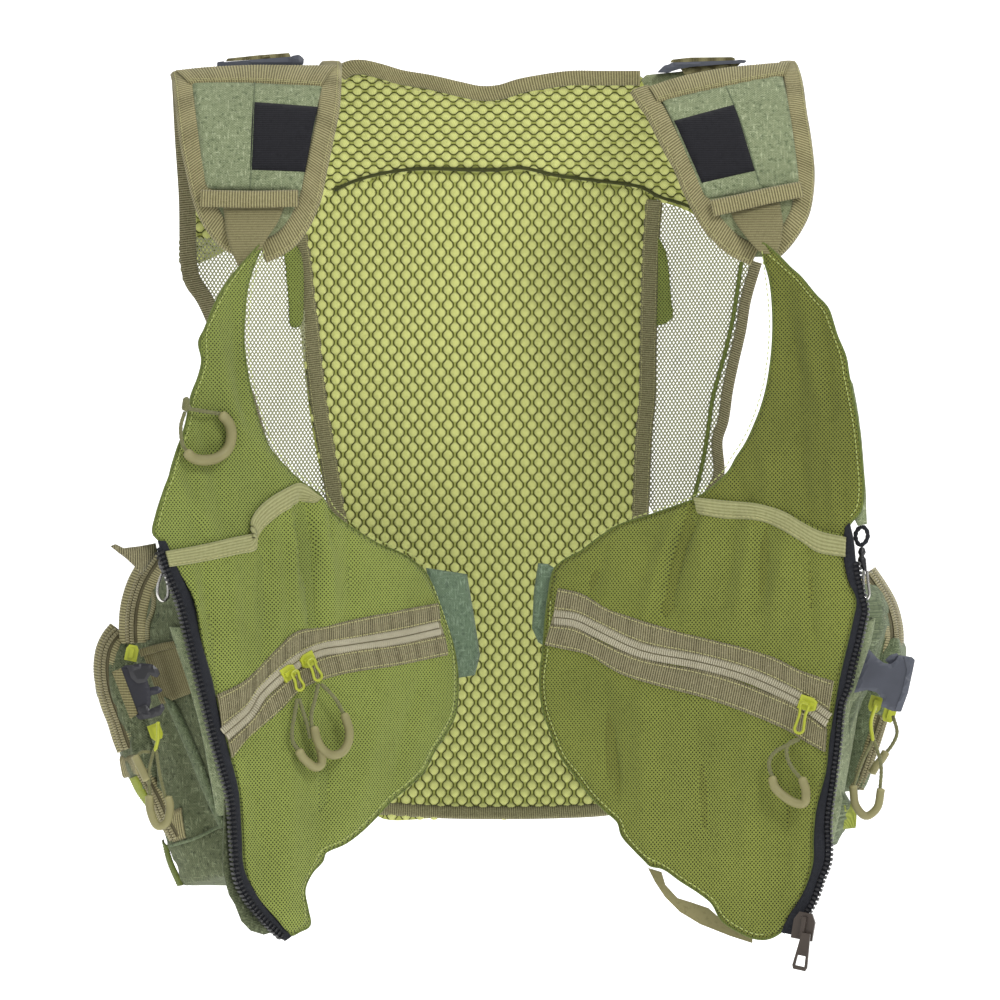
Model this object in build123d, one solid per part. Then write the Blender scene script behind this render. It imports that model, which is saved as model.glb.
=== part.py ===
from build123d import *
import math
import os

# Fishing vest, opened out: a mesh back with yoke, two padded shoulder straps and two front panels
# with zipped inner pockets, cargo pockets on the outer faces, buckles, zip sliders and cord pulls.
#
# Frame: +X to the viewer's right, +Z up, -Y towards the viewer who faces the open vest.
# Origin: about the middle of the back panel's lower hem, on its inner face. Millimetres.
# Left and right are the viewer's.

os.makedirs("parts", exist_ok=True)

# ---------------------------------------------------------------- driving dimensions
MESH_T = 3.0            # spacer mesh of the back
WING_T = 1.0            # side wings
PANEL_T = 3.0           # front panel, mesh lining and outer cloth together
PAD_T = 9.0             # shoulder pad foam
CLOTH_T = 1.2           # inner pockets, strap sleeves, storm flaps
BIND_W = 11.0           # folded grosgrain binding
NARROW_BIND_W = 8.0     # hem and right wing
NECK_BIND_W = 8.5
PAD_BIND_W = BIND_W * 0.9
BIND_T = 1.4
TAPE_T = 1.4            # inner zip tapes, elastic keepers and side tabs
ZIP_TAPE_T = 1.4        # front zip tape, centred on the panel
WEBBING_T = 1.6
TRIM_T = 1.6            # elastic pocket trim
LAYER_GAP = 0.4         # air between sewn layers, so no two solids share space
COIL_W = 5.0            # coil zip, closed width
COIL_T = 2.2
COIL_ROD_R = 1.6        # coil zips of the outer pockets, drawn as rods
TOOTH_PITCH = 5.0       # moulded front zip
TOOTH_W = 4.0
TOOTH_L = 2.6
TOOTH_T = 4.4
SLIDER_H = 3.2          # inner pocket zip sliders
CORD_T = 4.0            # cord pulls on the panels
POCKET_CORD_T = 3.6     # cord pulls on the cargo pockets
PULL_TAB_T = 1.6
CARGO_START = 2.5       # all four pocket depths run outwards from the panel's mid plane
CARGO_DEPTH = 52.0
POUCH_START = CARGO_DEPTH + 1.0
POUCH_DEPTH = 94.0
TAB_OUT = 5.2           # outer face of the side tabs, inner face of the storm flaps
CLIP_DEPTH = 7.0
CLIP_W = 7.0
CLIP_WIRE = 1.6
BUCKLE_T = 6.0          # side-release buckle for 25 mm webbing
PLUG_DEPTH = 17.0
LOCK_W = 50.0           # ladder lock for 38 mm webbing
LOCK_D = 30.0
LOCK_T = 3.6
LOCK_BAR = 5.0
LOCK_Y = -61.0
LOCK_Z = 446.8
LOCK_XS = {"left": -134.1, "right": 123.3}
RING_WIRE = 3.0         # net ring
RING_CLEAR = 0.06       # running clearance of the ring bar in its tab
RING_X = 6.0
RING_Z = 324.0          # height of the ring's straight bar
RING_HALF_W = 15.0
REAR_POCKET_IN = MESH_T + 0.6
REAR_POCKET_OUT = MESH_T + 13.0
TAB_W = 18.0            # net ring tab
TAB_T = 9.0
TAB_Y = REAR_POCKET_OUT + 1.4
VIEW = (0, -1, 0)       # towards the viewer


# ---------------------------------------------------------------- helpers
def save(name, *shapes):
    """Write one node; several solids in one node stay separate solids."""
    solids = []
    for item in shapes:
        solids.extend(item.solids())
    shape = solids[0] if len(solids) == 1 else Compound(children=solids)
    shape.label = name
    export_step(shape, os.path.join("parts", name + ".step"))


def outline_face(pts):
    """Flat face from a closed run of (a, b) points in the XY plane."""
    return make_face(Polyline(*[(p[0], p[1]) for p in pts], close=True))


def rect(x0, x1, y0, y1):
    return [(x0, y0), (x1, y0), (x1, y1), (x0, y1)]


def symmetric(half):
    """Closed outline from its +y half, mirrored about the x axis."""
    return [(x, -y) for x, y in half] + list(half)[::-1]


def plate(at, pts, thick):
    """Outline in a plane, thickened along the plane's normal."""
    return extrude(at * outline_face(pts), amount=thick, dir=at.z_dir)


def slab(plane, pts, depth0, depth1):
    """Flat plate between two depths of a plane."""
    return plate(plane.offset(depth0), pts, depth1 - depth0)


def prism_y(pts, y0, y1):
    """Front-elevation outline (x, z) extruded fore and aft."""
    face = Plane(origin=(0, y0, 0), x_dir=(1, 0, 0), z_dir=VIEW) * outline_face(pts)
    return extrude(face, amount=y1 - y0, dir=(0, 1, 0))


def unit(start, end):
    """Unit direction between two flat points."""
    length = math.dist(start, end)
    return ((end[0] - start[0]) / length, (end[1] - start[1]) / length)


def offset_line(pts, distance):
    """Open run of points moved sideways, to the left of its direction."""
    out = []
    for i, p in enumerate(pts):
        tx, ty = unit(pts[max(i - 1, 0)], pts[min(i + 1, len(pts) - 1)])
        out.append((p[0] - ty * distance, p[1] + tx * distance))
    return out


def ribbon(pts, width):
    """Closed outline of a tape of the given width along a centre line."""
    return offset_line(pts, width / 2) + offset_line(pts, -width / 2)[::-1]


def band_x(profile, offset0, offset1):
    """Curved sheet: a (y, z) profile between two offsets, run across the whole vest."""
    half_width = 260.0
    outline = offset_line(profile, offset0) + offset_line(profile, offset1)[::-1]
    at = Plane(origin=(-half_width, 0, 0), x_dir=(0, 1, 0), z_dir=(1, 0, 0))
    return plate(at, outline, 2 * half_width)


def on_back(pts, offset0, offset1):
    """Layer on the back; positive offsets lie on the viewer's side."""
    return band_x(BACK_PROFILE, offset0, offset1) & prism_y(pts, -60, 60)


def on_yoke(pts, offset0, offset1):
    return band_x(YOKE_PROFILE, offset0, offset1) & prism_y(pts, -120, 60)


def on_pad(pts, offset0, offset1):
    """Layer on the shoulder pad, offset from the pad's mid surface; the largest solid is kept."""
    layer = band_x(PAD_PROFILE, offset0, offset1) & prism_y(pts, -200, 0)
    return max(layer.solids(), key=lambda solid: solid.volume)


def rod(start, end, radius):
    a, b = Vector(*start), Vector(*end)
    circle = Plane(origin=a, z_dir=b - a) * Circle(radius)
    return extrude(circle, amount=(b - a).length, dir=(b - a).normalized())


def panel_at(plane, point, depth, direction):
    """Plane at a panel point and depth whose x axis follows a direction in the panel."""
    across, up, normal = plane.x_dir, plane.y_dir, plane.z_dir
    origin = plane.origin + across * point[0] + up * point[1] + normal * depth
    return Plane(origin=origin, x_dir=across * direction[0] + up * direction[1], z_dir=normal)


def facing_viewer(origin, along):
    """Plane whose x axis runs along a track and whose normal turns to the viewer."""
    track = Vector(*along).normalized()
    view = Vector(*VIEW)
    return Plane(origin=origin, x_dir=track, z_dir=(view - track * view.dot(track)).normalized())


def viewer_normal(p0, p1, p2):
    """Normal of three points, on the viewer's side."""
    normal = (p1 - p0).cross(p2 - p1).normalized()
    return normal * -1 if normal.dot(Vector(*VIEW)) < 0 else normal


# ---------------------------------------------------------------- zip and cord hardware
def slider_on(at, length, width, height, shoulder, bridge, bridge_half):
    """Tapered slider body with a bridge; shoulder and bridge are fractions of the half length."""
    half = length / 2
    outline = symmetric([(-half, width / 2), (half * shoulder, width / 2), (half, width * 0.3)])
    body = plate(at, outline, height * 0.55)
    bridge_outline = rect(-half * bridge, half * bridge, -bridge_half, bridge_half)
    return body + plate(at.offset(height * 0.55), bridge_outline, height * 0.45)


def panel_slider(plane, point, depth, direction, length, width=8.0, height=SLIDER_H):
    return slider_on(panel_at(plane, point, depth, direction), length, width, height,
                     shoulder=0.4, bridge=0.7, bridge_half=1.2)


def pocket_slider(origin, along):
    return slider_on(facing_viewer(origin, along), length=9.0, width=7.0, height=3.0,
                     shoulder=0.5, bridge=0.6, bridge_half=1.1)


def cord_pull(at, tab_half, loop_half, hole_half, thick):
    """Slider tab with a cord loop, from the half outlines of tab, loop and hole."""
    tab = plate(at, symmetric(tab_half), PULL_TAB_T)
    loop = plate(at, symmetric(loop_half), thick) - plate(at, symmetric(hole_half), thick)
    return tab + loop


def panel_pull(plane, top, low, depth, width=15.0, tab=11.0):
    """Cord pull lying on a panel, from top to low."""
    end = math.dist(top, low)
    return cord_pull(
        panel_at(plane, top, depth, unit(top, low)),
        [(-0.4, 2.2), (tab + 4, 2.6)],
        [(tab, 2.5), (tab + 8, width * 0.33), (end - 10, width / 2),
         (end - 3, width * 0.42), (end, width * 0.15)],
        [(tab + 6, 1.2), (end - 11, width / 2 - 4), (end - 5, width * 0.16)],
        CORD_T)


def pocket_pull(top, low, standoff, width):
    """Cord pull hanging from a cargo pocket slider, moved towards the viewer by standoff."""
    tab = 9.0
    start, end_point = Vector(*top), Vector(*low)
    end = (end_point - start).length
    return cord_pull(
        facing_viewer(start + Vector(*VIEW) * standoff, end_point - start),
        [(-0.4, 2.0), (tab + 4, 2.4)],
        [(tab, 2.4), (end - 9, width / 2), (end - 3, width * 0.42), (end, width * 0.15)],
        [(tab + 6, 1.0), (end - 10, width / 2 - 3.6), (end - 5, width * 0.14)],
        POCKET_CORD_T)


# ---------------------------------------------------------------- back: profiles and outlines
# Profiles (y, z) in the vertical fore-and-aft plane, from the bottom up.
BACK_PROFILE = ((0, -10), (0, 200), (0, 355), (-2, 375), (-8, 395))
YOKE_PROFILE = ((0, 335), (0, 355), (-2, 375), (-8, 395), (-18, 415), (-30, 432), (-42, 447))
PAD_PROFILE = ((-127, 318), (-123, 345), (-116, 370), (-106, 398), (-92, 420), (-76, 434),
               (-60, 441), (-46, 440))

# Front elevations (x, z).
BACK_OUTLINE = (
    (-93.0, 371.4), (-81.0, 377.4), (-63.0, 382.2), (-42.0, 384.6), (-12.0, 384.0), (6.0, 384.0),
    (18.0, 384.6), (42.0, 380.4), (66.0, 377.4), (87.6, 373.8), (96.0, 369.0), (96.0, 309.0),
    (93.0, 231.0), (90.0, 180.0), (85.2, 69.0), (81.0, 9.0), (66.0, 1.8), (42.0, -0.6), (6.0, 1.2),
    (-30.0, 2.4), (-67.2, 1.8), (-69.6, 33.0), (-82.8, 105.0), (-94.2, 183.0), (-100.8, 213.0),
    (-106.8, 249.0), (-111.0, 297.0), (-114.0, 345.0), (-109.2, 361.8))
YOKE_OUTLINE = (
    (-185.4, 437.1), (-88.3, 442.5), (-85.3, 444.7), (-76.4, 445.7), (-53.0, 440.3),
    (-35.3, 438.2), (-17.7, 433.8), (-5.8, 431.1), (6.0, 432.8), (29.6, 437.6), (41.4, 439.8),
    (65.0, 439.3), (88.7, 438.2), (96.0, 431.7), (124.0, 439.3), (174.1, 441.4), (178.6, 415.1),
    (183.4, 374.8), (171.0, 342.0), (147.0, 345.0), (133.2, 353.4), (119.9, 364.7),
    (101.9, 369.5), (89.9, 375.4), (65.9, 378.9), (41.9, 381.8), (18.0, 385.9), (6.0, 385.3),
    (-12.0, 385.3), (-41.9, 385.9), (-62.9, 383.6), (-80.9, 378.9), (-92.9, 373.0),
    (-110.9, 365.3), (-150.0, 346.2), (-183.6, 342.6), (-185.9, 368.9), (-187.3, 403.8))
NECK_LINE = (
    (-85.4, 442.4), (-76.5, 443.0), (-64.8, 440.8), (-53.0, 438.1), (-35.4, 435.4),
    (-17.7, 431.1), (-5.8, 428.9), (6.0, 430.0), (17.8, 432.2), (29.7, 433.8), (47.3, 437.0),
    (65.1, 437.0), (86.3, 437.0))
HEM_LINE = ((-67.1, 5.6), (-30.0, 6.2), (6.0, 4.4), (42.0, 2.6), (65.9, 4.4), (76.7, 6.8))
SIDE_LINES = (
    ((-113.9, 340.1), (-112.1, 320.9), (-107.3, 284.9), (-103.1, 248.9), (-98.3, 219.0),
     (-92.9, 189.0), (-85.1, 141.0), (-76.7, 87.1), (-69.5, 33.1), (-67.7, 14.0)),
    ((96.5, 359.8), (94.7, 308.9), (94.1, 248.9), (91.7, 231.0), (89.9, 180.0), (86.3, 105.1),
     (82.7, 45.1), (80.3, 14.0)))
REAR_POCKET = (
    (-100.8, 345.0), (90.0, 345.0), (94.8, 297.0), (91.2, 201.0), (84.0, 105.0), (79.2, 21.0),
    (-66.0, 18.6), (-82.8, 105.0), (-98.4, 207.0), (-106.8, 291.0))

# Side wings: plane, outline and edge line as (across, up) in that plane, binding width.
WINGS = (
    (Plane(origin=(-105.0, 0.5, 200.0), x_dir=(0.91355, 0.40674, 0.0),
           z_dir=(0.40674, -0.91355, 0.0)),
     ((-18.6, 138.5), (-16.0, 108.7), (-11.6, 78.8), (-8.4, 48.9), (-4.5, 25.0), (0.6, -11.0),
      (-25.6, -9.2), (-33.9, 6.9), (-40.2, 30.7), (-47.8, 54.4), (-57.2, 75.1), (-67.9, 95.7),
      (-76.0, 110.3), (-82.9, 117.8), (-84.8, 136.7)),
     ((-83.4, 133.1), (-82.2, 120.1), (-76.6, 112.0), (-69.7, 97.9), (-57.8, 78.0),
      (-49.6, 55.6), (-42.0, 30.7), (-34.4, 5.7)),
     BIND_W),
    (Plane(origin=(99.0, 0.5, 200.0), x_dir=(0.91355, -0.40674, 0.0),
           z_dir=(-0.40674, -0.91355, 0.0)),
     ((8.4, 155.6), (22.5, 157.5), (36.5, 151.1), (51.1, 140.0), (65.0, 130.1), (57.4, 107.8),
      (53.0, 90.0), (48.0, 72.3), (44.8, 54.5), (41.6, 36.6), (39.1, 24.7), (37.8, 3.9),
      (34.0, -6.2), (2.0, -15.8), (3.2, 31.0), (5.8, 48.9), (7.1, 108.9)),
     ((62.4, 125.4), (56.1, 107.7), (51.7, 90.0), (46.6, 71.1), (42.8, 53.3), (39.6, 36.6),
      (37.1, 24.7), (35.8, 5.7)),
     NARROW_BIND_W))


# ---------------------------------------------------------------- back: pieces
def back_bindings():
    low, high = LAYER_GAP, LAYER_GAP + BIND_T
    bindings = [on_back(ribbon(line, BIND_W), low, high) for line in SIDE_LINES]
    bindings.append(on_back(ribbon(HEM_LINE, NARROW_BIND_W), low, high))
    bindings.append(on_yoke(ribbon(NECK_LINE, NECK_BIND_W), low, high))
    wing_low = LAYER_GAP + 0.6
    for plane, _, edge, width in WINGS:
        bindings.append(slab(plane, ribbon(edge, width), wing_low, wing_low + BIND_T))
    return bindings


RING_Y = TAB_Y + TAB_T / 2


def ring_rod(half_length, radius):
    """Rod along X on the axis of the ring's straight bar."""
    return rod((RING_X - half_length, RING_Y, RING_Z), (RING_X + half_length, RING_Y, RING_Z),
               radius)


def net_ring_tab():
    """Tab outside the rear pocket, bored for the bar of the net ring."""
    at = Plane(origin=(RING_X - TAB_W / 2, TAB_Y, 0), x_dir=(0, 1, 0), z_dir=(1, 0, 0))
    tab = plate(at, rect(0, TAB_T, RING_Z - 7, RING_Z + 28), TAB_W)
    return tab - ring_rod(20, RING_WIRE / 2 + RING_CLEAR)


def net_ring():
    """Ring with a straight top bar and a square-section bow below it."""
    left = [(-RING_HALF_W, 0), (-RING_HALF_W, -12), (-9, -22)]
    right = [(-x, z) for x, z in left[::-1]]
    bow = [(RING_X + x, RING_Z + z) for x, z in left + [(0, -25.5)] + right]
    half_wire = RING_WIRE / 2
    bow_solid = prism_y(ribbon(bow, RING_WIRE), RING_Y - half_wire, RING_Y + half_wire)
    return ring_rod(RING_HALF_W, half_wire) + bow_solid


save("back_panel", on_back(BACK_OUTLINE, 0, -MESH_T))
save("back_yoke", on_yoke(YOKE_OUTLINE, 0, -MESH_T))
save("side_wings", *[slab(plane, outline, -WING_T, 0.0) for plane, outline, _, _ in WINGS])
save("back_bindings", *back_bindings())
save("rear_pocket", prism_y(REAR_POCKET, REAR_POCKET_IN, REAR_POCKET_OUT))
save("net_ring_tab", net_ring_tab())
save("net_ring", net_ring())

# ---------------------------------------------------------------- shoulders: outlines (x, z)
# Each group lists the left strap first.
PADS = (
    ((-180.4, 435.6), (-86.8, 437.2), (-87.3, 412.2), (-90.7, 391.0), (-93.3, 376.3),
     (-95.9, 361.7), (-100.3, 350.2), (-104.2, 342.7), (-109.8, 335.8), (-115.4, 331.3),
     (-128.3, 328.4), (-140.8, 329.6), (-151.0, 334.7), (-156.7, 340.4), (-163.6, 350.2),
     (-169.6, 364.6), (-173.5, 379.2), (-176.2, 394.0), (-178.2, 412.2)),
    ((95.2, 426.1), (174.9, 441.7), (178.2, 437.2), (180.5, 428.1), (181.1, 412.2),
     (182.5, 394.0), (183.7, 376.3), (182.8, 364.6), (180.2, 353.1), (175.5, 341.5),
     (169.7, 334.1), (161.2, 329.0), (153.9, 328.4), (138.6, 328.4), (131.3, 332.4),
     (125.8, 339.8), (121.9, 347.3), (116.3, 355.4), (110.8, 365.8), (105.3, 376.3),
     (99.8, 386.3), (94.3, 396.3), (88.9, 408.5), (86.3, 418.3)))
PAD_EDGES = (
    ((-174.8, 428.6), (-172.7, 407.1), (-170.4, 393.9), (-167.7, 380.3), (-165.0, 364.6),
     (-160.8, 351.8), (-154.4, 342.6), (-145.3, 336.9)),
    ((-92.5, 428.6), (-92.9, 412.0), (-95.9, 393.9), (-99.0, 376.2), (-101.6, 361.7),
     (-105.4, 351.8), (-109.8, 343.7), (-117.1, 336.9), (-126.1, 332.9)),
    ((90.8, 418.2), (94.6, 410.8), (100.0, 398.6), (104.9, 388.0), (110.4, 377.4),
     (115.3, 366.9), (120.3, 356.4), (125.8, 347.2), (132.5, 339.2), (140.3, 334.6)),
    ((174.0, 432.6), (175.3, 412.0), (177.3, 393.9), (179.0, 376.2), (178.1, 363.4),
     (174.5, 351.8), (167.5, 341.5), (161.8, 335.8)))
SLEEVES = (
    ((-167.8, 428.5), (-98.6, 425.8), (-108.9, 364.5), (-159.3, 365.6)),
    ((102.2, 416.8), (167.5, 432.4), (173.1, 370.3), (123.7, 360.4)))
SLEEVE_TAPES = (
    ((-159.8, 362.7), (-108.3, 362.7), (-109.3, 355.2), (-157.9, 354.0)),
    ((125.9, 358.7), (158.8, 365.0), (173.1, 368.0), (173.5, 360.4), (147.3, 354.6),
     (131.4, 350.6)))
ELASTICS = (
    ((-135.2, 417.1), (-99.7, 414.0), (-105.5, 375.3), (-135.6, 376.4)),
    ((106.3, 405.5), (139.7, 415.3), (150.4, 375.8), (121.4, 368.8)))
WEBBINGS = (
    ((-150.0, 352.6), (-116.6, 352.6), (-127.2, 336.8), (-132.7, 330.0), (-140.6, 330.0),
     (-146.3, 335.7)),
    ((137.1, 350.6), (164.3, 356.9), (163.4, 333.4), (157.1, 330.0), (148.1, 332.3),
     (143.7, 338.0)))


# ---------------------------------------------------------------- shoulders: pieces
def pad_layers(outlines, start, thick):
    return [on_pad(outline, start, start + thick) for outline in outlines]


def ladder_lock(x):
    """Three-bar slide lying level over the shoulder."""
    base = Plane(origin=(x, LOCK_Y, LOCK_Z), x_dir=(1, 0, 0), z_dir=(0, 0, 1))
    half_w, half_d = LOCK_W / 2, LOCK_D / 2
    chamfered = [(-half_w, half_d - 3), (-half_w + 3, half_d), (half_w - 3, half_d),
                 (half_w, half_d - 3)]
    frame = plate(base, symmetric(chamfered), LOCK_T)
    slot = half_d - LOCK_BAR - LOCK_BAR / 2
    for side in (-1, 1):
        y = side * (LOCK_BAR / 2 + slot / 2)
        opening = rect(-half_w + 5, half_w - 5, y - slot / 2, y + slot / 2)
        frame = frame - plate(base, opening, LOCK_T)
    return frame


BINDING_START = PAD_T / 2 + LAYER_GAP
SLEEVE_START = BINDING_START + BIND_T + LAYER_GAP
ELASTIC_START = SLEEVE_START + CLOTH_T + LAYER_GAP

save("shoulder_pads", *pad_layers(PADS, -PAD_T / 2, PAD_T))
save("pad_bindings",
     *pad_layers([ribbon(line, PAD_BIND_W) for line in PAD_EDGES], BINDING_START, BIND_T))
save("strap_sleeves", *pad_layers(SLEEVES + SLEEVE_TAPES, SLEEVE_START, CLOTH_T))
save("elastic_keepers", *pad_layers(ELASTICS, ELASTIC_START, TAPE_T))
save("shoulder_webbings", *pad_layers(WEBBINGS, SLEEVE_START, WEBBING_T))
for side, x in LOCK_XS.items():
    save("ladder_lock_" + side, ladder_lock(x))

# ---------------------------------------------------------------- front panels: outlines
# Points are (across, up) in each panel's own plane, from the strap tip. Depths are measured from
# the panel's mid plane, positive on the lining side, towards the viewer. Triples are (x, y, z).
# cargo and pouch: near line, far line (the zip side at the two depths, top down), then the
# (top, bottom) limits that close the near and the far outline.
# pocket_sliders: place, direction of the track. pocket_pull: top, low, standoff, width.
# clip: top, low, eye.
LEFT = dict(
    plane=Plane(origin=(-127.8, -138.0, 333.5), x_dir=(0.84805, 0.52992, 0.0),
                z_dir=(0.52899, -0.84656, 0.05926)),
    panel=(
        (-2.8, -8.6), (-9.3, -11.1), (-22.3, -23.3), (-32.8, -39.9), (-37.5, -50.1),
        (-42.1, -55.7), (-38.7, -66.8), (-41.4, -75.2), (-44.8, -83.7), (-46.8, -89.2),
        (-49.6, -100.4), (-53.7, -111.5), (-58.4, -122.7), (-65.0, -139.3), (-70.3, -153.0),
        (-71.2, -161.3), (-64.1, -169.6), (-60.2, -182.3), (-51.4, -200.1), (-45.9, -222.3),
        (-39.2, -244.6), (-35.9, -261.2), (-30.4, -283.5), (-24.8, -305.9), (-23.7, -328.1),
        (-22.5, -350.2), (-14.2, -367.3), (-3.9, -379.0), (5.3, -387.9), (17.0, -383.0),
        (16.0, -373.5), (15.0, -363.4), (19.8, -354.2), (27.1, -347.3), (29.2, -343.5),
        (42.2, -338.5), (52.2, -332.8), (62.2, -325.4), (72.4, -316.8), (85.9, -307.7),
        (96.1, -299.5), (103.2, -288.4), (110.2, -280.0), (117.3, -268.8), (119.9, -254.5),
        (119.7, -240.1), (116.9, -225.6), (112.6, -214.0), (108.3, -202.4), (104.6, -193.7),
        (100.1, -186.2), (93.6, -181.0), (83.9, -175.2), (70.8, -170.5), (57.9, -163.6),
        (48.3, -157.9), (38.8, -150.5), (33.9, -143.1), (20.0, -134.1), (10.6, -126.2),
        (1.4, -116.7), (-4.5, -102.7), (-8.5, -88.7), (-11.8, -71.9), (-13.2, -55.1),
        (-12.0, -38.2), (-9.7, -24.0), (-5.5, -14.3)),
    zip_tape=(
        (-67.7, -167.4), (-64.7, -170.2), (-60.8, -182.3), (-53.3, -200.1), (-47.8, -222.3),
        (-41.0, -244.5), (-37.8, -261.2), (-32.3, -283.5), (-26.7, -305.8), (-25.5, -328.0),
        (-24.4, -351.2), (-16.1, -368.3), (-5.8, -380.0), (2.8, -388.8), (0.8, -389.8),
        (-8.9, -379.2), (-19.2, -367.0), (-26.3, -353.9), (-27.5, -332.3), (-28.8, -311.3),
        (-33.1, -290.1), (-38.2, -275.0), (-42.1, -259.9), (-44.8, -245.5), (-50.3, -222.2),
        (-56.4, -200.0), (-62.6, -183.4)),
    teeth_line=(
        (-69.5, -167.4), (-66.8, -177.9), (-63.9, -185.0), (-58.8, -200.0), (-52.7, -222.2),
        (-47.2, -244.9), (-43.9, -258.8), (-40.1, -274.9), (-35.6, -290.0), (-30.6, -310.6),
        (-29.4, -332.8), (-27.6, -354.9), (-21.1, -367.4), (-11.5, -379.1), (-2.3, -387.9)),
    teeth_shift=-2.0,
    trim=(
        (-63.8, -172.5), (-45.9, -169.9), (-12.5, -161.7), (-12.3, -156.1), (-4.4, -146.6),
        (8.6, -139.3), (18.3, -135.9), (29.6, -143.3), (21.2, -144.4), (11.4, -148.9),
        (1.7, -154.5), (-6.8, -162.9), (-9.6, -171.2), (-36.8, -178.3), (-62.3, -181.3)),
    pocket_high=(
        (-60.5, -183.6), (-36.8, -179.9), (-9.0, -172.9), (-4.9, -163.4), (3.6, -156.2),
        (12.7, -150.6), (21.8, -146.7), (32.0, -147.8), (44.6, -160.3), (56.1, -166.0),
        (69.0, -172.9), (82.0, -177.6), (91.1, -183.4), (96.9, -188.6), (101.4, -195.5),
        (103.2, -201.3), (81.1, -205.5), (54.6, -209.7), (27.3, -214.3), (14.4, -215.7),
        (6.6, -219.0), (-6.4, -229.9), (-22.6, -243.4), (-39.1, -251.2), (-45.7, -225.1),
        (-51.7, -200.2)),
    pocket_low=(
        (-24.0, -288.2), (-14.3, -278.6), (1.2, -267.4), (16.3, -253.9), (41.7, -246.2),
        (79.8, -241.4), (109.3, -236.4), (114.5, -240.0), (114.7, -254.4), (112.2, -267.5),
        (105.8, -278.2), (98.8, -286.5), (91.8, -297.1), (81.6, -305.2), (68.7, -314.3),
        (58.6, -322.9), (48.6, -330.3), (38.7, -336.0), (25.6, -341.0), (21.6, -345.8),
        (15.0, -352.7), (10.2, -363.0), (11.2, -371.4), (12.8, -379.9), (3.8, -384.9),
        (-4.2, -376.6), (-13.9, -365.0), (-21.5, -349.1), (-22.7, -328.1), (-23.9, -305.9)),
    tape_top=(
        (105.1, -204.2), (81.0, -207.8), (54.6, -211.9), (28.5, -216.6), (15.6, -218.0),
        (9.1, -220.7), (-3.9, -231.6), (-20.1, -245.1), (-36.6, -253.0)),
    tape_bottom=(
        (-25.2, -286.5), (-18.0, -276.8), (-1.8, -265.1), (14.5, -251.6), (40.5, -243.9),
        (79.9, -239.2), (110.7, -234.2)),
    side_tab=(
        (107.9, -185.0), (130.8, -187.5), (138.0, -234.6), (134.8, -245.5), (124.6, -246.4),
        (123.0, -234.3), (119.6, -216.9), (112.8, -199.4), (109.7, -191.9)),
    cargo=(
        ((-52.6, -179.0), (-43.3, -200.1), (-37.2, -222.4), (-30.4, -244.7), (-25.4, -267.1),
         (-19.9, -289.5), (-14.3, -311.9), (-13.7, -334.1), (-13.7, -351.9)),
        ((-41.3, -179.1), (-54.3, -195.9), (-61.8, -214.9), (-63.7, -237.4), (-61.9, -262.7),
         (-55.3, -291.0), (-48.4, -313.7), (-40.9, -336.6), (-28.5, -364.2)),
        (50, 35), (52, 40)),
    pouch=(
        ((-58.4, -217.2), (-67.4, -228.8), (-70.5, -248.4), (-66.7, -268.1), (-61.7, -287.9),
         (-54.8, -307.9)),
        ((-48.9, -220.8), (-58.1, -232.1), (-61.2, -250.3), (-55.9, -266.5), (-48.9, -286.7),
         (-39.9, -306.0)),
        (42, 34), (36, 30)),
    flap=(
        (-60.5, -211.9), (-56.1, -210.9), (-51.5, -222.0), (-47.5, -233.2), (-42.6, -255.4),
        (-37.6, -275.0), (-31.4, -297.4), (-25.2, -318.1), (-32.8, -321.1), (-37.8, -302.6),
        (-43.4, -280.3), (-50.0, -255.2), (-54.9, -233.0), (-57.7, -221.9)),
    pocket_coils=(
        ((-191.4, -155.5, 144.4), (-200.0, -156.2, 109.8)),
        ((-187.1, -159.6, 64.4), (-180.3, -160.6, 41.0)),
        ((-222.2, -123.7, 98.4), (-212.9, -120.9, 54.0))),
    pocket_sliders=(
        ((-198.8, -159.4, 103.9), (8.3, 0.9, 40.6)),
        ((-185.0, -164.5, 60.2), (5.8, -2.2, -15.4))),
    pocket_pull=((-184.2, -166.6, 57.6), (-183.4, -169.6, 6.8), 5.6, 13.0),
    clip=((-64.6, -184.8), (-65.6, -199.7), (-66.1, -175.4)))

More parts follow.
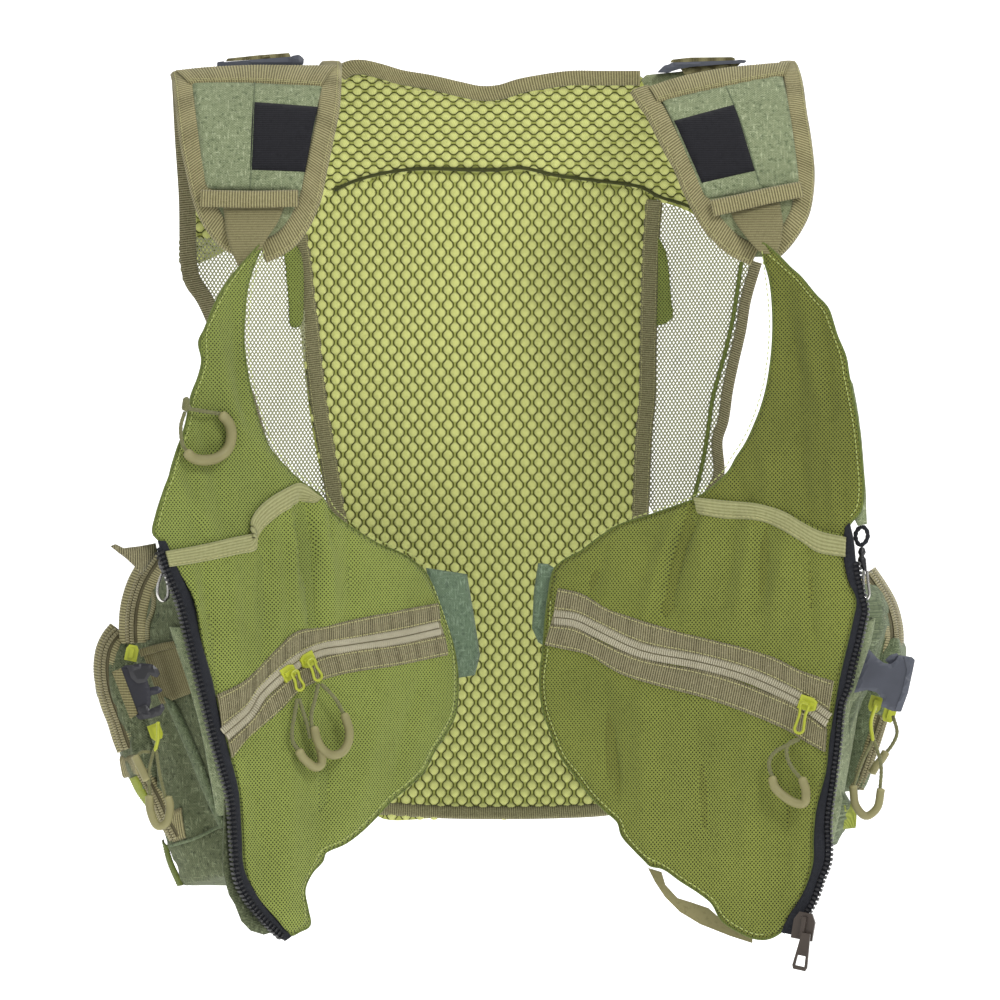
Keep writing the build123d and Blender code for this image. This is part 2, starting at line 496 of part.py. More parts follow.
RIGHT = dict(
    plane=Plane(origin=(152.2, -138.0, 333.5), x_dir=(0.96593, -0.25882, 0.0),
                z_dir=(-0.25823, -0.96373, 0.06746)),
    panel=(
        (1.3, -8.5), (7.0, -8.6), (17.3, -16.7), (23.1, -21.3), (31.7, -31.0), (38.5, -38.4),
        (42.0, -46.9), (43.8, -52.5), (49.0, -64.9), (50.8, -75.0), (53.8, -89.0),
        (56.8, -105.8), (58.7, -122.6), (60.0, -139.3), (59.5, -147.6), (54.0, -157.1),
        (50.7, -160.5), (49.7, -178.3), (52.1, -189.4), (56.2, -200.5), (54.6, -211.6),
        (50.9, -228.3), (47.2, -244.9), (44.5, -261.6), (41.9, -278.2), (40.4, -294.9),
        (37.8, -306.0), (35.1, -317.1), (33.6, -333.7), (34.3, -344.7), (31.6, -355.8),
        (27.3, -366.9), (21.8, -375.4), (17.4, -383.8), (9.6, -388.4), (2.2, -388.6),
        (-6.3, -385.6), (-16.5, -379.2), (-22.4, -370.0), (-29.3, -364.6), (-40.8, -357.7),
        (-50.6, -351.3), (-58.0, -349.8), (-61.0, -347.1), (-66.8, -341.7), (-74.4, -333.5),
        (-76.8, -326.2), (-84.4, -319.7), (-93.2, -311.4), (-102.1, -300.4), (-111.0, -289.3),
        (-117.1, -275.3), (-121.4, -264.0), (-123.4, -247.1), (-120.8, -230.1),
        (-119.5, -201.7), (-115.7, -184.7), (-110.0, -179.0), (-101.3, -174.4),
        (-89.8, -165.8), (-78.3, -159.0), (-63.9, -154.5), (-43.8, -147.7), (-34.1, -143.7),
        (-23.9, -136.4), (-16.6, -129.1), (-12.7, -122.4), (-7.1, -113.9), (-1.5, -102.7),
        (4.0, -85.9), (6.6, -71.8), (8.1, -54.9), (7.9, -38.0), (6.0, -21.0), (1.3, -11.9)),
    zip_tape=(
        (52.9, -160.5), (51.8, -162.7), (51.4, -178.3), (53.8, -189.4), (57.8, -200.5),
        (56.3, -211.6), (52.6, -228.2), (48.8, -244.9), (46.2, -261.6), (43.6, -278.2),
        (42.1, -294.8), (39.5, -305.9), (36.8, -317.0), (35.3, -333.6), (36.0, -344.6),
        (33.3, -355.7), (29.0, -366.9), (23.5, -375.3), (19.1, -384.8), (11.8, -390.0),
        (19.7, -391.4), (23.1, -386.9), (27.4, -376.8), (30.7, -369.0), (35.0, -357.9),
        (38.3, -345.7), (38.1, -334.7), (39.0, -318.1), (41.7, -305.9), (44.4, -294.8),
        (45.9, -279.3), (48.5, -263.7), (51.6, -246.0), (55.4, -229.3), (58.0, -212.7),
        (59.5, -200.4), (56.6, -188.2), (54.8, -178.3), (54.7, -167.1)),
    teeth_line=(
        (56.0, -182.7), (58.3, -194.9), (60.1, -206.0), (57.5, -222.6), (53.8, -236.5),
        (51.1, -250.4), (47.4, -267.1), (45.3, -278.2), (42.8, -300.3), (40.2, -317.0),
        (39.8, -333.5), (39.4, -344.6), (36.7, -355.6), (32.3, -366.8), (30.2, -371.3)),
    teeth_shift=3.0,
    trim=(
        (-35.8, -144.5), (-20.3, -145.6), (2.5, -147.9), (16.7, -152.3), (25.3, -157.3),
        (36.6, -162.9), (49.0, -166.2), (49.1, -176.2), (33.9, -174.0), (25.4, -167.9),
        (14.0, -161.8), (2.6, -156.8), (-20.2, -155.2), (-33.4, -152.4)),
    pocket_high=(
        (-40.9, -149.0), (-35.0, -154.1), (-20.1, -156.9), (2.6, -158.5), (14.0, -163.5),
        (25.4, -169.6), (33.9, -175.7), (49.1, -178.4), (51.0, -190.6), (54.4, -200.6),
        (52.9, -211.7), (49.2, -228.4), (44.8, -243.4), (26.3, -238.0), (14.9, -232.6),
        (3.6, -228.3), (-30.7, -220.2), (-65.2, -211.0), (-85.6, -203.8), (-100.2, -196.0),
        (-112.5, -193.3), (-112.0, -185.9), (-108.0, -180.8), (-99.4, -176.2), (-87.9, -167.7),
        (-76.4, -161.5), (-62.0, -156.9)),
    pocket_low=(
        (-118.8, -235.8), (-102.5, -232.2), (-87.9, -237.7), (-73.3, -247.1), (-41.6, -256.7),
        (-7.4, -260.2), (4.0, -263.3), (15.4, -269.8), (21.1, -275.3), (38.1, -286.0),
        (38.2, -294.9), (36.1, -306.0), (33.4, -317.1), (31.9, -333.6), (32.6, -344.6),
        (29.9, -355.7), (25.6, -365.8), (20.1, -374.2), (14.6, -383.7), (3.9, -386.2),
        (-4.6, -383.2), (-14.3, -376.8), (-20.6, -367.6), (-28.7, -362.3), (-40.1, -355.4),
        (-48.8, -348.9), (-58.6, -345.3), (-65.0, -339.3), (-72.0, -332.2), (-75.0, -324.5),
        (-82.6, -317.9), (-90.8, -309.7), (-99.7, -298.6), (-108.0, -287.5), (-114.0, -274.1),
        (-118.3, -264.0), (-120.3, -247.1)),
    tape_top=(
        (-112.5, -196.1), (-100.2, -198.3), (-85.5, -206.1), (-65.2, -213.3), (-30.6, -222.5),
        (3.6, -230.5), (14.9, -234.8), (26.3, -240.3), (42.6, -245.0)),
    tape_bottom=(
        (35.8, -281.7), (21.1, -272.5), (15.4, -267.0), (4.0, -260.6), (-7.4, -257.4),
        (-41.6, -253.9), (-73.4, -244.3), (-88.0, -234.9), (-102.6, -229.4), (-117.7, -227.9)),
    side_tab=(
        (-125.6, -181.7), (-116.2, -182.8), (-120.1, -193.0), (-121.6, -207.2),
        (-123.1, -224.3), (-124.2, -228.9), (-127.8, -224.4)),
    cargo=(
        ((42.6, -183.7), (46.2, -200.4), (44.7, -214.4), (40.9, -231.1), (37.2, -250.6),
         (34.1, -272.8), (31.6, -292.3), (25.7, -318.4), (24.2, -333.9)),
        ((54.8, -187.0), (63.0, -199.4), (66.0, -210.8), (66.7, -229.5), (63.5, -250.5),
         (58.1, -273.2), (52.6, -295.9), (43.7, -320.4), (33.7, -343.3)),
        (-45, -30), (-50, -34)),
    pouch=(
        ((66.3, -217.5), (69.8, -226.5), (68.9, -249.2), (65.7, -269.1), (61.3, -289.0),
         (54.7, -308.9)),
        ((64.7, -217.4), (67.7, -226.6), (66.1, -248.6), (61.7, -267.1), (56.1, -287.4),
         (48.7, -304.3)),
        (-36, -28), (-30, -24)),
    flap=(
        (64.4, -222.4), (67.1, -212.4), (64.8, -211.3), (59.4, -225.2), (52.9, -250.3),
        (48.7, -272.5), (44.5, -297.6), (43.5, -311.4), (42.5, -323.6), (47.0, -321.3),
        (52.4, -305.7), (56.7, -289.0), (61.0, -266.8), (63.0, -250.2)),
    pocket_coils=(
        ((213.9, -128.1, 147.8), (226.9, -133.4, 122.5)),
        ((226.9, -133.4, 122.5), (227.4, -134.7, 104.5)),
        ((218.9, -134.9, 69.6), (209.9, -134.6, 39.7))),
    pocket_sliders=(
        ((216.0, -146.2, 74.7), (-7.2, 0.2, -24.6)),
        ((225.3, -132.6, 68.3), (-7.2, 0.2, -24.6))),
    pocket_pull=((214.0, -150.1, 70.5), (210.3, -153.3, 11.5), 7.6, 17.0),
    clip=((60.0, -182.4), (60.2, -200.2), (58.7, -167.9)))


# ---------------------------------------------------------------- pieces found on both fronts
def teeth(plane, line):
    """Moulded zip teeth, evenly spaced along the chain, as separate blocks."""
    lengths = [math.dist(line[i], line[i + 1]) for i in range(len(line) - 1)]
    total = sum(lengths)
    count = int(total // TOOTH_PITCH)
    outline = rect(-TOOTH_L / 2, TOOTH_L / 2, -TOOTH_W / 2, TOOTH_W / 2)
    blocks = []
    for k in range(count):
        along = (k + 0.5) * total / count
        i = 0
        while along > lengths[i]:
            along -= lengths[i]
            i += 1
        part = along / lengths[i]
        a, b = line[i], line[i + 1]
        point = (a[0] + (b[0] - a[0]) * part, a[1] + (b[1] - a[1]) * part)
        blocks.append(plate(panel_at(plane, point, -TOOTH_T / 2, unit(a, b)), outline, TOOTH_T))
    return blocks


def bellows_pocket(plane, lines, depth_near, depth_far):
    """Pocket lofted between its outlines at two depths outside the panel."""
    near, far, near_side, far_side = lines
    faces = []
    for line, side, depth in ((near, near_side, depth_near), (far, far_side, depth_far)):
        outline = list(line) + [(side[1], line[-1][1]), (side[0], line[0][1])]
        faces.append(plane.offset(-depth) * outline_face(outline))
    return loft(faces, ruled=True)


def snap_clip(plane, top, low, eye):
    """Wire snap with its swivel eye."""
    end = math.dist(top, low)
    at = panel_at(plane, top, -CLIP_DEPTH, unit(top, low))
    half = CLIP_W / 2
    outer = symmetric([(0, 1.6), (4, half), (end - 3, half), (end, half * 0.5)])
    inner = symmetric([(2.2, 0.6), (5, half - CLIP_WIRE), (end - 3.6, half - CLIP_WIRE),
                       (end - CLIP_WIRE, half * 0.3)])
    clip = plate(at, outer, CLIP_WIRE) - plate(at, inner, CLIP_WIRE)
    return clip + plate(at, rect(-math.dist(top, eye), 0.6, -1.8, 1.8), CLIP_WIRE + 0.6)


LINING = PANEL_T / 2 + LAYER_GAP        # first layer on the lining side
SLIDER_DEPTH = LINING + COIL_T + LAYER_GAP
PULL_DEPTH = SLIDER_DEPTH + SLIDER_H + 0.3


def on_lining(plane, pts, thick):
    return slab(plane, pts, LINING, LINING + thick)


# Closed end of the right front zip.
ZIP_BOX = slab(RIGHT["plane"], ((18.4, -391.3), (23.4, -385.7), (28.5, -388.8), (25.8, -397.7)),
               -2.6, 3.4)

for side, front, zip_ends in (("left", LEFT, []), ("right", RIGHT, [ZIP_BOX])):
    plane = front["plane"]
    save("front_panel_" + side, slab(plane, front["panel"], -PANEL_T / 2, PANEL_T / 2))
    zip_tape = slab(plane, front["zip_tape"], -ZIP_TAPE_T / 2, ZIP_TAPE_T / 2)
    save("front_zip_tape_" + side, zip_tape, *zip_ends)
    chain = offset_line(front["teeth_line"], front["teeth_shift"])
    save("front_teeth_" + side, *teeth(plane, chain))
    save("elastic_trim_" + side, on_lining(plane, front["trim"], TRIM_T))
    save("inner_pocket_" + side, on_lining(plane, front["pocket_high"], CLOTH_T),
         on_lining(plane, front["pocket_low"], CLOTH_T))
    save("side_tab_" + side, slab(plane, front["side_tab"], -TAB_OUT, -TAB_OUT + TAPE_T))
    save("cargo_pocket_" + side,
         bellows_pocket(plane, front["cargo"], CARGO_START, CARGO_DEPTH))
    save("front_pouch_" + side,
         bellows_pocket(plane, front["pouch"], POUCH_START, POUCH_DEPTH))
    save("storm_flap_" + side, slab(plane, front["flap"], -TAB_OUT - CLOTH_T, -TAB_OUT))
    save("pocket_coils_" + side,
         *[rod(start, end, COIL_ROD_R) for start, end in front["pocket_coils"]])
    for letter, (place, track) in zip("ab", front["pocket_sliders"]):
        save("pocket_slider_" + side + "_" + letter, pocket_slider(place, track))
    save("pocket_pull_" + side, pocket_pull(*front["pocket_pull"]))
    save("tool_clip_" + side, snap_clip(plane, *front["clip"]))

# ---------------------------------------------------------------- left inner zip, on an arc
ARC_CENTRE = (87.14, -379.61)
ARC_R = 160.0
ARC_START = 83.78       # degrees
ARC_END = 138.5
ARC_TAPE_GAP = 3.4      # from the coil's centre line to each tape
# Sliders: angle, travel sense, shift of the pull's top (across, up), its low end and width.
ARC_SLIDERS = {
    "a": (120.44, -1, (0.5, -1.0), (11.3, -295.1), 11.0),
    "b": (115.36, 1, (2.0, -1.5), (30.0, -289.7), 15.0)}


def arc_point(radius, degrees):
    angle = math.radians(degrees)
    return (ARC_CENTRE[0] + radius * math.cos(angle), ARC_CENTRE[1] + radius * math.sin(angle))


def arc_points(radius, start, end, steps):
    return [arc_point(radius, start + (end - start) * i / steps) for i in range(steps + 1)]


plane = LEFT["plane"]
high_tape = list(LEFT["tape_top"]) + arc_points(ARC_R + ARC_TAPE_GAP, ARC_END, ARC_START, 16)
low_tape = list(LEFT["tape_bottom"]) + arc_points(ARC_R - ARC_TAPE_GAP, ARC_START, ARC_END, 16)
save("inner_zip_tapes_left", on_lining(plane, high_tape, TAPE_T),
     on_lining(plane, low_tape, TAPE_T))
coil = (arc_points(ARC_R + COIL_W / 2, ARC_START, ARC_END, 24)
        + arc_points(ARC_R - COIL_W / 2, ARC_START, ARC_END, 24)[::-1])
save("inner_coil_left", on_lining(plane, coil, COIL_T))
for letter, (degrees, sense, shift, low, width) in ARC_SLIDERS.items():
    place = arc_point(ARC_R, degrees)
    angle = math.radians(degrees)
    tangent = (-sense * math.sin(angle), sense * math.cos(angle))
    save("inner_slider_left_" + letter,
         panel_slider(plane, place, SLIDER_DEPTH, tangent, length=9.0))
    top = (place[0] + shift[0], place[1] + shift[1])
    save("inner_pull_left_" + letter, panel_pull(plane, top, low, PULL_DEPTH, width=width))

# ---------------------------------------------------------------- other left front hardware
# Three corners (x, y, z) of each.
WAIST_WEBBING = ((-175.3, -173.8, 110.5), (-166.2, -170.1, 82.2), (-178.2, -166.0, 78.6))
SOCKET = ((-195.6, -169.5, 100.4), (-184.9, -164.9, 71.3), (-195.4, -159.9, 67.7))
# Top and low end (across, up) of the pull high on the panel.
CHEST_PULL = ((-52.7, -91.9), (-40.6, -122.8))


def waist_webbing():
    """Parallelogram plate from three corners, thickened towards the viewer."""
    p0, p1, p2 = (Vector(*corner) for corner in WAIST_WEBBING)
    face = make_face(Polyline(p0, p1, p2, p0 + (p2 - p1), close=True))
    return extrude(face, amount=WEBBING_T, dir=viewer_normal(p0, p1, p2))


def buckle_socket():
    """Socket half of the buckle, open along one long edge and through both ends."""
    p0, p1, p2 = (Vector(*corner) for corner in SOCKET)
    at = Plane(origin=(p0 + p2) * 0.5, x_dir=(p1 - p0).normalized(),
               z_dir=viewer_normal(p0, p1, p2))
    body = plate(at, rect(-16, 16, -9, 9), BUCKLE_T + 1.5)
    for cut in (rect(-13, 13, -9.5, 5), rect(-17, -12.9, -3, 4), rect(12.9, 17, -3, 4)):
        body = body - plate(at.offset(1.4), cut, BUCKLE_T - 1.3)
    return body


save("waist_webbing_left", waist_webbing())
save("buckle_socket", buckle_socket())
save("chest_pull_left", panel_pull(LEFT["plane"], *CHEST_PULL, 2.6, width=26, tab=3.0))

# ---------------------------------------------------------------- right inner zip, straight
COIL_LINE = ((-113.4, -214.3), (33.6, -259.0))
STRAIGHT_TAPE_GAP = 3.6
SLIDER_NEAR = (31.0, -259.7)    # the slider sits at the nearest point of the coil line
RIGHT_PULL_LOW = (21.0, -314.5)

plane = RIGHT["plane"]
high_edge = offset_line(COIL_LINE, STRAIGHT_TAPE_GAP)
low_edge = offset_line(COIL_LINE, -STRAIGHT_TAPE_GAP)
save("inner_zip_tapes_right",
     on_lining(plane, list(RIGHT["tape_top"]) + high_edge[::-1], TAPE_T),
     on_lining(plane, list(RIGHT["tape_bottom"]) + low_edge, TAPE_T))
save("inner_coil_right", on_lining(plane, ribbon(COIL_LINE, COIL_W), COIL_T))
start = COIL_LINE[0]
track = unit(*COIL_LINE)
run = (SLIDER_NEAR[0] - start[0]) * track[0] + (SLIDER_NEAR[1] - start[1]) * track[1]
place = (start[0] + track[0] * run, start[1] + track[1] * run)
save("inner_slider_right", panel_slider(plane, place, SLIDER_DEPTH, track, length=10.0))
save("inner_pull_right",
     panel_pull(plane, (place[0] - 0.5, place[1] - 1.5), RIGHT_PULL_LOW, PULL_DEPTH + 1.5,
                width=19, tab=14.0))

# ---------------------------------------------------------------- other right front hardware
PLUG = (
    (61.4, -226.1), (64.3, -230.5), (70.5, -234.9), (75.0, -234.3), (78.3, -229.8),
    (87.8, -233.0), (79.8, -262.6), (74.2, -261.5), (68.5, -257.2), (65.1, -252.2),
    (57.3, -254.0), (53.3, -252.9), (57.1, -236.2))
HEM_OUTER = (
    (-60.3, -351.7), (-56.1, -359.4), (-50.3, -367.6), (-41.6, -375.7), (-30.1, -382.1),
    (-12.9, -388.2), (-0.4, -391.7))
HEM_INNER = (
    (-52.8, -353.7), (-50.4, -360.9), (-43.4, -368.0), (-35.9, -370.0), (-25.6, -373.1),
    (-14.1, -382.7), (-0.4, -387.3))
MAIN_SLIDER = (30.8, -380.9)
MAIN_SLIDER_AIM = (58.4, -211.8)        # point the slider's nose turns to
MAIN_SLIDER_DEPTH = 4.8
MAIN_SLIDER_H = 5.2
MAIN_PULL = ((33.0, -384.9), (29.4, -404.7))
MAIN_PULL_T = 2.0


def main_pull():
    """Flat pull of the front zip with a slot near its low end."""
    end = math.dist(*MAIN_PULL)
    depth = MAIN_SLIDER_DEPTH + MAIN_SLIDER_H + LAYER_GAP
    at = panel_at(RIGHT["plane"], MAIN_PULL[0], depth, unit(*MAIN_PULL))
    body = plate(at, symmetric([(-0.4, 2.4), (end - 2, 4.2), (end, 3.4)]), MAIN_PULL_T)
    return body - plate(at, symmetric([(end - 8, 2.2), (end - 2.2, 2.6)]), MAIN_PULL_T)


save("buckle_plug", slab(plane, PLUG, -PLUG_DEPTH, -PLUG_DEPTH + BUCKLE_T))
save("main_slider",
     panel_slider(plane, MAIN_SLIDER, MAIN_SLIDER_DEPTH, unit(MAIN_SLIDER, MAIN_SLIDER_AIM),
                  length=15.0, width=12.0, height=MAIN_SLIDER_H))
save("main_pull", main_pull())
save("hem_loop", slab(plane, HEM_OUTER + HEM_INNER[::-1], -6.6, -5.0))
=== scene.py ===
"""A sleeveless vest with open fronts: an air-mesh back and yoke, padded shoulders, two front
panels whose linings face the viewer, and cargo pockets along the outboard edges.

The scene is in metres, +Z up, and the viewer looks along +Y. The back panel stands near
y = 0 and the fronts nearer the viewer, at negative y. Left is -X and right is +X. All sizes
and tables here are in millimetres; make() turns them into metres.
"""
import math
import random

import bpy
import numpy as np
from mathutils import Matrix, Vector
from mathutils.bvhtree import BVHTree
from mathutils.geometry import delaunay_2d_cdt


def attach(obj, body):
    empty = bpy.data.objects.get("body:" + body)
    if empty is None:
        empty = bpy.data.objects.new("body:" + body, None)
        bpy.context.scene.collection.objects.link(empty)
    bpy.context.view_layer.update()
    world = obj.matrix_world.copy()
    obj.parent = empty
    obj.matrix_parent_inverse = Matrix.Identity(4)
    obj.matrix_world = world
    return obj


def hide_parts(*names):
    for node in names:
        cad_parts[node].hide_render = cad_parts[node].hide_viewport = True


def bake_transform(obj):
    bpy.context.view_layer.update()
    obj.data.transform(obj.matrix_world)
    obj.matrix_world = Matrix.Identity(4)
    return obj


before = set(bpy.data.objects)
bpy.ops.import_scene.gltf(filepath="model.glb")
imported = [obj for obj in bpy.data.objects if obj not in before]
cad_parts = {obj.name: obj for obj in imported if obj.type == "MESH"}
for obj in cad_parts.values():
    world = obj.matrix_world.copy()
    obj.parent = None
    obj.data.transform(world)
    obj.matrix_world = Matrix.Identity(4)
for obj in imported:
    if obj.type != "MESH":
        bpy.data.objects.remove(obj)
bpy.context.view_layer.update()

random.seed(7)
EYE = np.array([6.0, -2200.0, 189.0])  # viewing point and camera place


def points(text, columns=2):
    """Table from text: commas inside a point, blanks between points."""
    return np.array(text.replace(",", " ").split(), float).reshape(-1, columns)


# ------------------------------------------------------------------ materials
class Graph:
    """A material's node tree, with short calls for the nodes used here."""

    def __init__(self, material):
        material.use_nodes = True
        self.tree = material.node_tree
        self.tree.nodes.clear()
        output = self.add("OutputMaterial")
        self.shader = self.add("BsdfPrincipled")
        self.tree.links.new(self.shader.outputs[0], output.inputs[0])

    def add(self, kind):
        return self.tree.nodes.new("ShaderNode" + kind)

    def put(self, socket, value):
        """Links a socket, or sets a plain value."""
        if isinstance(value, bpy.types.NodeSocket):
            self.tree.links.new(value, socket)
        else:
            socket.default_value = value

    def math(self, operation, *values):
        node = self.add("Math")
        node.operation = operation
        for socket, value in zip(node.inputs, values):
            self.put(socket, value)
        return node.outputs[0]

    def mix(self, factor, first, second):
        node = self.add("Mix")
        node.data_type = "RGBA"
        # inputs 6 and 7 and output 2 are the colour sockets
        self.put(node.inputs[0], factor)
        self.put(node.inputs[6], first)
        self.put(node.inputs[7], second)
        return node.outputs[2]

    def noise(self, vector, scale, detail, rough=0.6):
        node = self.add("TexNoise")
        self.put(node.inputs["Vector"], vector)
        node.inputs["Scale"].default_value = scale
        node.inputs["Detail"].default_value = detail
        node.inputs["Roughness"].default_value = rough
        return node.outputs[0]

    def plane(self, x, y):
        node = self.add("CombineXYZ")
        self.put(node.inputs[0], x)
        self.put(node.inputs[1], y)
        return node.outputs[0]

    def ramp(self, value, low, high):
        """Smooth step from 0 at low to 1 at high."""
        node = self.add("MapRange")
        node.interpolation_type = "SMOOTHSTEP"
        self.put(node.inputs[0], value)
        node.inputs[1].default_value = low
        node.inputs[2].default_value = high
        return node.outputs[0]

    def bump(self, height, strength, distance):
        node = self.add("Bump")
        node.inputs["Strength"].default_value = strength
        node.inputs["Distance"].default_value = distance
        self.put(node.inputs["Height"], height)
        self.put(self.shader.inputs["Normal"], node.outputs[0])


def linear(colour):
    """sRGB 0-255 to linear RGBA."""
    share = [c / 255 for c in colour]
    return tuple(c / 12.92 if c <= 0.04045 else ((c + 0.055) / 1.055) ** 2.4
                 for c in share) + (1.0,)


def fabric(name, base, dark, light, kind="plain", pitch=(1.2, 1.2), contrast=0.6, flecks=0.5,
           streak=(2200, 260), sheen=0.12, on="uv", mottle=0.12, relief=0.5):
    """Cloth with a drawn weave.

    kind is rib, ribv (ribs the other way), holes, foam or plain; pitch is the weave's size in
    mm; contrast, flecks and mottle set how strong the weave, the stray yarns and the broad
    shading are; streak scales the yarn noise along and across; on is uv or object."""
    material = bpy.data.materials.new(name)
    graph = Graph(material)
    calc = graph.math
    coords = graph.add("TexCoord")
    split = graph.add("SeparateXYZ")
    if on == "uv":
        graph.put(split.inputs[0], coords.outputs["UV"])
        u, v = split.outputs[0], split.outputs[1]
    else:
        graph.put(split.inputs[0], coords.outputs["Object"])
        # x and y together, so that walls running fore and aft keep their weave
        u = calc("SUBTRACT", split.outputs[0], calc("MULTIPLY", split.outputs[1], 0.83))
        v = split.outputs[2]
    u_mm = calc("MULTIPLY", u, 1000.0)
    v_mm = calc("MULTIPLY", v, 1000.0)
    place = coords.outputs["Object"]

    # weave, slightly bent by noise
    wobble = calc("MULTIPLY_ADD", graph.noise(place, scale=90.0, detail=2.0), 1.4, -0.7)
    bend_u, bend_v = (0.5, 0.8) if kind == "holes" else (0.12, 0.12)
    u_bent = calc("ADD", u_mm, calc("MULTIPLY", wobble, bend_u))
    v_bent = calc("ADD", v_mm, calc("MULTIPLY", wobble, bend_v))
    wave_u = calc("COSINE", calc("MULTIPLY", u_bent, 2 * math.pi / pitch[0]))
    wave_v = calc("COSINE", calc("MULTIPLY", v_bent, 2 * math.pi / pitch[1]))
    if kind in ("rib", "ribv"):
        main, cross = (wave_u, wave_v) if kind == "rib" else (wave_v, wave_u)
        weave = calc("MULTIPLY_ADD", main, 0.42, 0.5)
        weave = calc("ADD", weave, calc("MULTIPLY", cross, 0.08))
        mask = graph.ramp(weave, 0.05, 0.95)
        mask = calc("SUBTRACT", 1.0, mask)
    elif kind in ("holes", "foam"):
        low, high = (0.08, 0.68) if kind == "holes" else (0.0, 1.0)
        mask = graph.ramp(calc("MULTIPLY", wave_u, wave_v), low, high)
        weave = calc("SUBTRACT", 1.0, mask)
    else:
        weave = calc("MULTIPLY_ADD", calc("MULTIPLY", wave_u, wave_v), 0.5, 0.5)
        mask = calc("MULTIPLY", graph.ramp(weave, 0.0, 1.0), 0.55)
    colour = graph.mix(calc("MULTIPLY", mask, contrast), linear(base), linear(dark))

    # light yarns both ways, then dark specks
    long, short = streak[0] / 100.0, streak[1] / 100.0
    yarns = [graph.noise(graph.plane(calc("MULTIPLY", u, a), calc("MULTIPLY", v, b)),
                         scale=100.0, detail=3.0, rough=0.7)
             for a, b in ((long, short), (short, long))]
    yarn = calc("MAXIMUM", graph.ramp(yarns[0], 0.52, 0.72), graph.ramp(yarns[1], 0.54, 0.74))
    colour = graph.mix(calc("MULTIPLY", yarn, flecks), colour, linear(light))
    speck = graph.ramp(graph.noise(place, scale=430.0, detail=3.0, rough=0.75), 0.50, 0.70)
    colour = graph.mix(calc("MULTIPLY", speck, flecks * 0.8), colour, linear(dark))

    # broad light and dark areas
    broad = graph.noise(place, scale=16.0, detail=3.0)
    shade = calc("MULTIPLY_ADD", broad, mottle * 2, 1.0 - mottle)
    scaled = graph.add("VectorMath")
    scaled.operation = "SCALE"
    graph.put(scaled.inputs[0], colour)
    graph.put(scaled.inputs[3], shade)
    inputs = graph.shader.inputs
    graph.put(inputs["Base Color"], scaled.outputs[0])
    graph.put(inputs["Roughness"], calc("MULTIPLY_ADD", speck, 0.08, 0.85))
    inputs["Sheen Weight"].default_value = sheen
    inputs["Sheen Roughness"].default_value = 0.6
    inputs["Specular IOR Level"].default_value = 0.25
    fuzz = graph.noise(place, scale=900.0, detail=2.0)
    graph.bump(calc("ADD", weave, calc("MULTIPLY", fuzz, 0.7)), strength=relief, distance=0.0003)
    return material


def hard(name, base, dark, rough, grain, metal=0.0, coat=0.0, specular=0.5):
    """Moulded plastic, enamel or bright metal, with fine texture and a paler colour at sharp
    convex edges.
    """
    material = bpy.data.materials.new(name)
    graph = Graph(material)
    place = graph.add("TexCoord").outputs["Object"]
    fine = graph.noise(place, scale=700.0, detail=3.0)
    broad = graph.noise(place, scale=60.0, detail=2.0)
    patchy = graph.ramp(broad, 0.35, 0.75)
    colour = graph.mix(graph.math("MULTIPLY", patchy, 0.4), linear(base), linear(dark))
    geometry = graph.add("NewGeometry")
    # paler colour where the surface is sharply convex, at edges and corners
    edge = graph.ramp(geometry.outputs["Pointiness"], 0.52, 0.62)
    paler_edge_colour = tuple(min(255, int(c * 1.25 + 18)) for c in base)
    colour = graph.mix(graph.math("MULTIPLY", edge, 0.35), colour, linear(paler_edge_colour))
    inputs = graph.shader.inputs
    graph.put(inputs["Base Color"], colour)
    inputs["Metallic"].default_value = metal
    graph.put(inputs["Roughness"], graph.math("MULTIPLY_ADD", fine, 0.2, rough - 0.1))
    inputs["Coat Weight"].default_value = coat
    inputs["Specular IOR Level"].default_value = specular
    graph.bump(fine, strength=grain, distance=0.00012)
    return material


def mesh_lining(name, base, dark, light, cell, mottle, sheen):
    return fabric(name, base, dark, light, "holes", (cell, 2.3), contrast=1.0, flecks=0.2,
                  mottle=mottle, sheen=sheen, relief=0.9)


def heather(name, base, dark, light, on="uv", mottle=0.12):
    return fabric(name, base, dark, light, "plain", (1.7, 1.5), contrast=0.85, flecks=0.9,
                  streak=(1000, 170), sheen=0.1, on=on, mottle=mottle)


# Colours are sRGB: base, dark, then light for cloth.
GROSGRAIN = fabric("grosgrain", (164, 157, 114), (88, 82, 50), (198, 191, 150), "rib",
                   (1.55, 0.7), contrast=0.95, flecks=0.34, streak=(500, 1500))
GROSGRAIN_INNER = fabric("grosgrain_inner", (148, 142, 108), (70, 64, 40), (190, 184, 150),
                         "rib", (1.35, 0.8), contrast=1.0, flecks=0.42, streak=(500, 1500))
BINDING = fabric("binding_brown", (142, 138, 100), (74, 70, 44), (182, 178, 140), "rib",
                 (1.3, 1.1), contrast=0.9, flecks=0.5, streak=(900, 1200))
WEBBING = fabric("webbing_tan", (132, 126, 88), (76, 70, 42), (166, 160, 120), "rib",
                 (1.5, 1.5), contrast=0.85, flecks=0.35, streak=(700, 1600), sheen=0.08)
STRAP = fabric("webbing_strap", (136, 130, 92), (84, 78, 50), (172, 166, 126), "ribv",
               (1.3, 1.45), contrast=0.6, flecks=0.35, streak=(700, 1600), sheen=0.08,
               on="object")
ELASTIC = fabric("elastic_cream", (158, 158, 112), (112, 112, 66), (186, 186, 142), "ribv",
                 (3.0, 1.9), contrast=0.55, flecks=0.35, streak=(240, 1500))
ELASTIC_BLACK = fabric("elastic_black", (30, 30, 35), (12, 12, 16), (50, 50, 58), "ribv",
                       (1.3, 1.3), contrast=0.6, flecks=0.25, streak=(240, 1500), sheen=0.03)
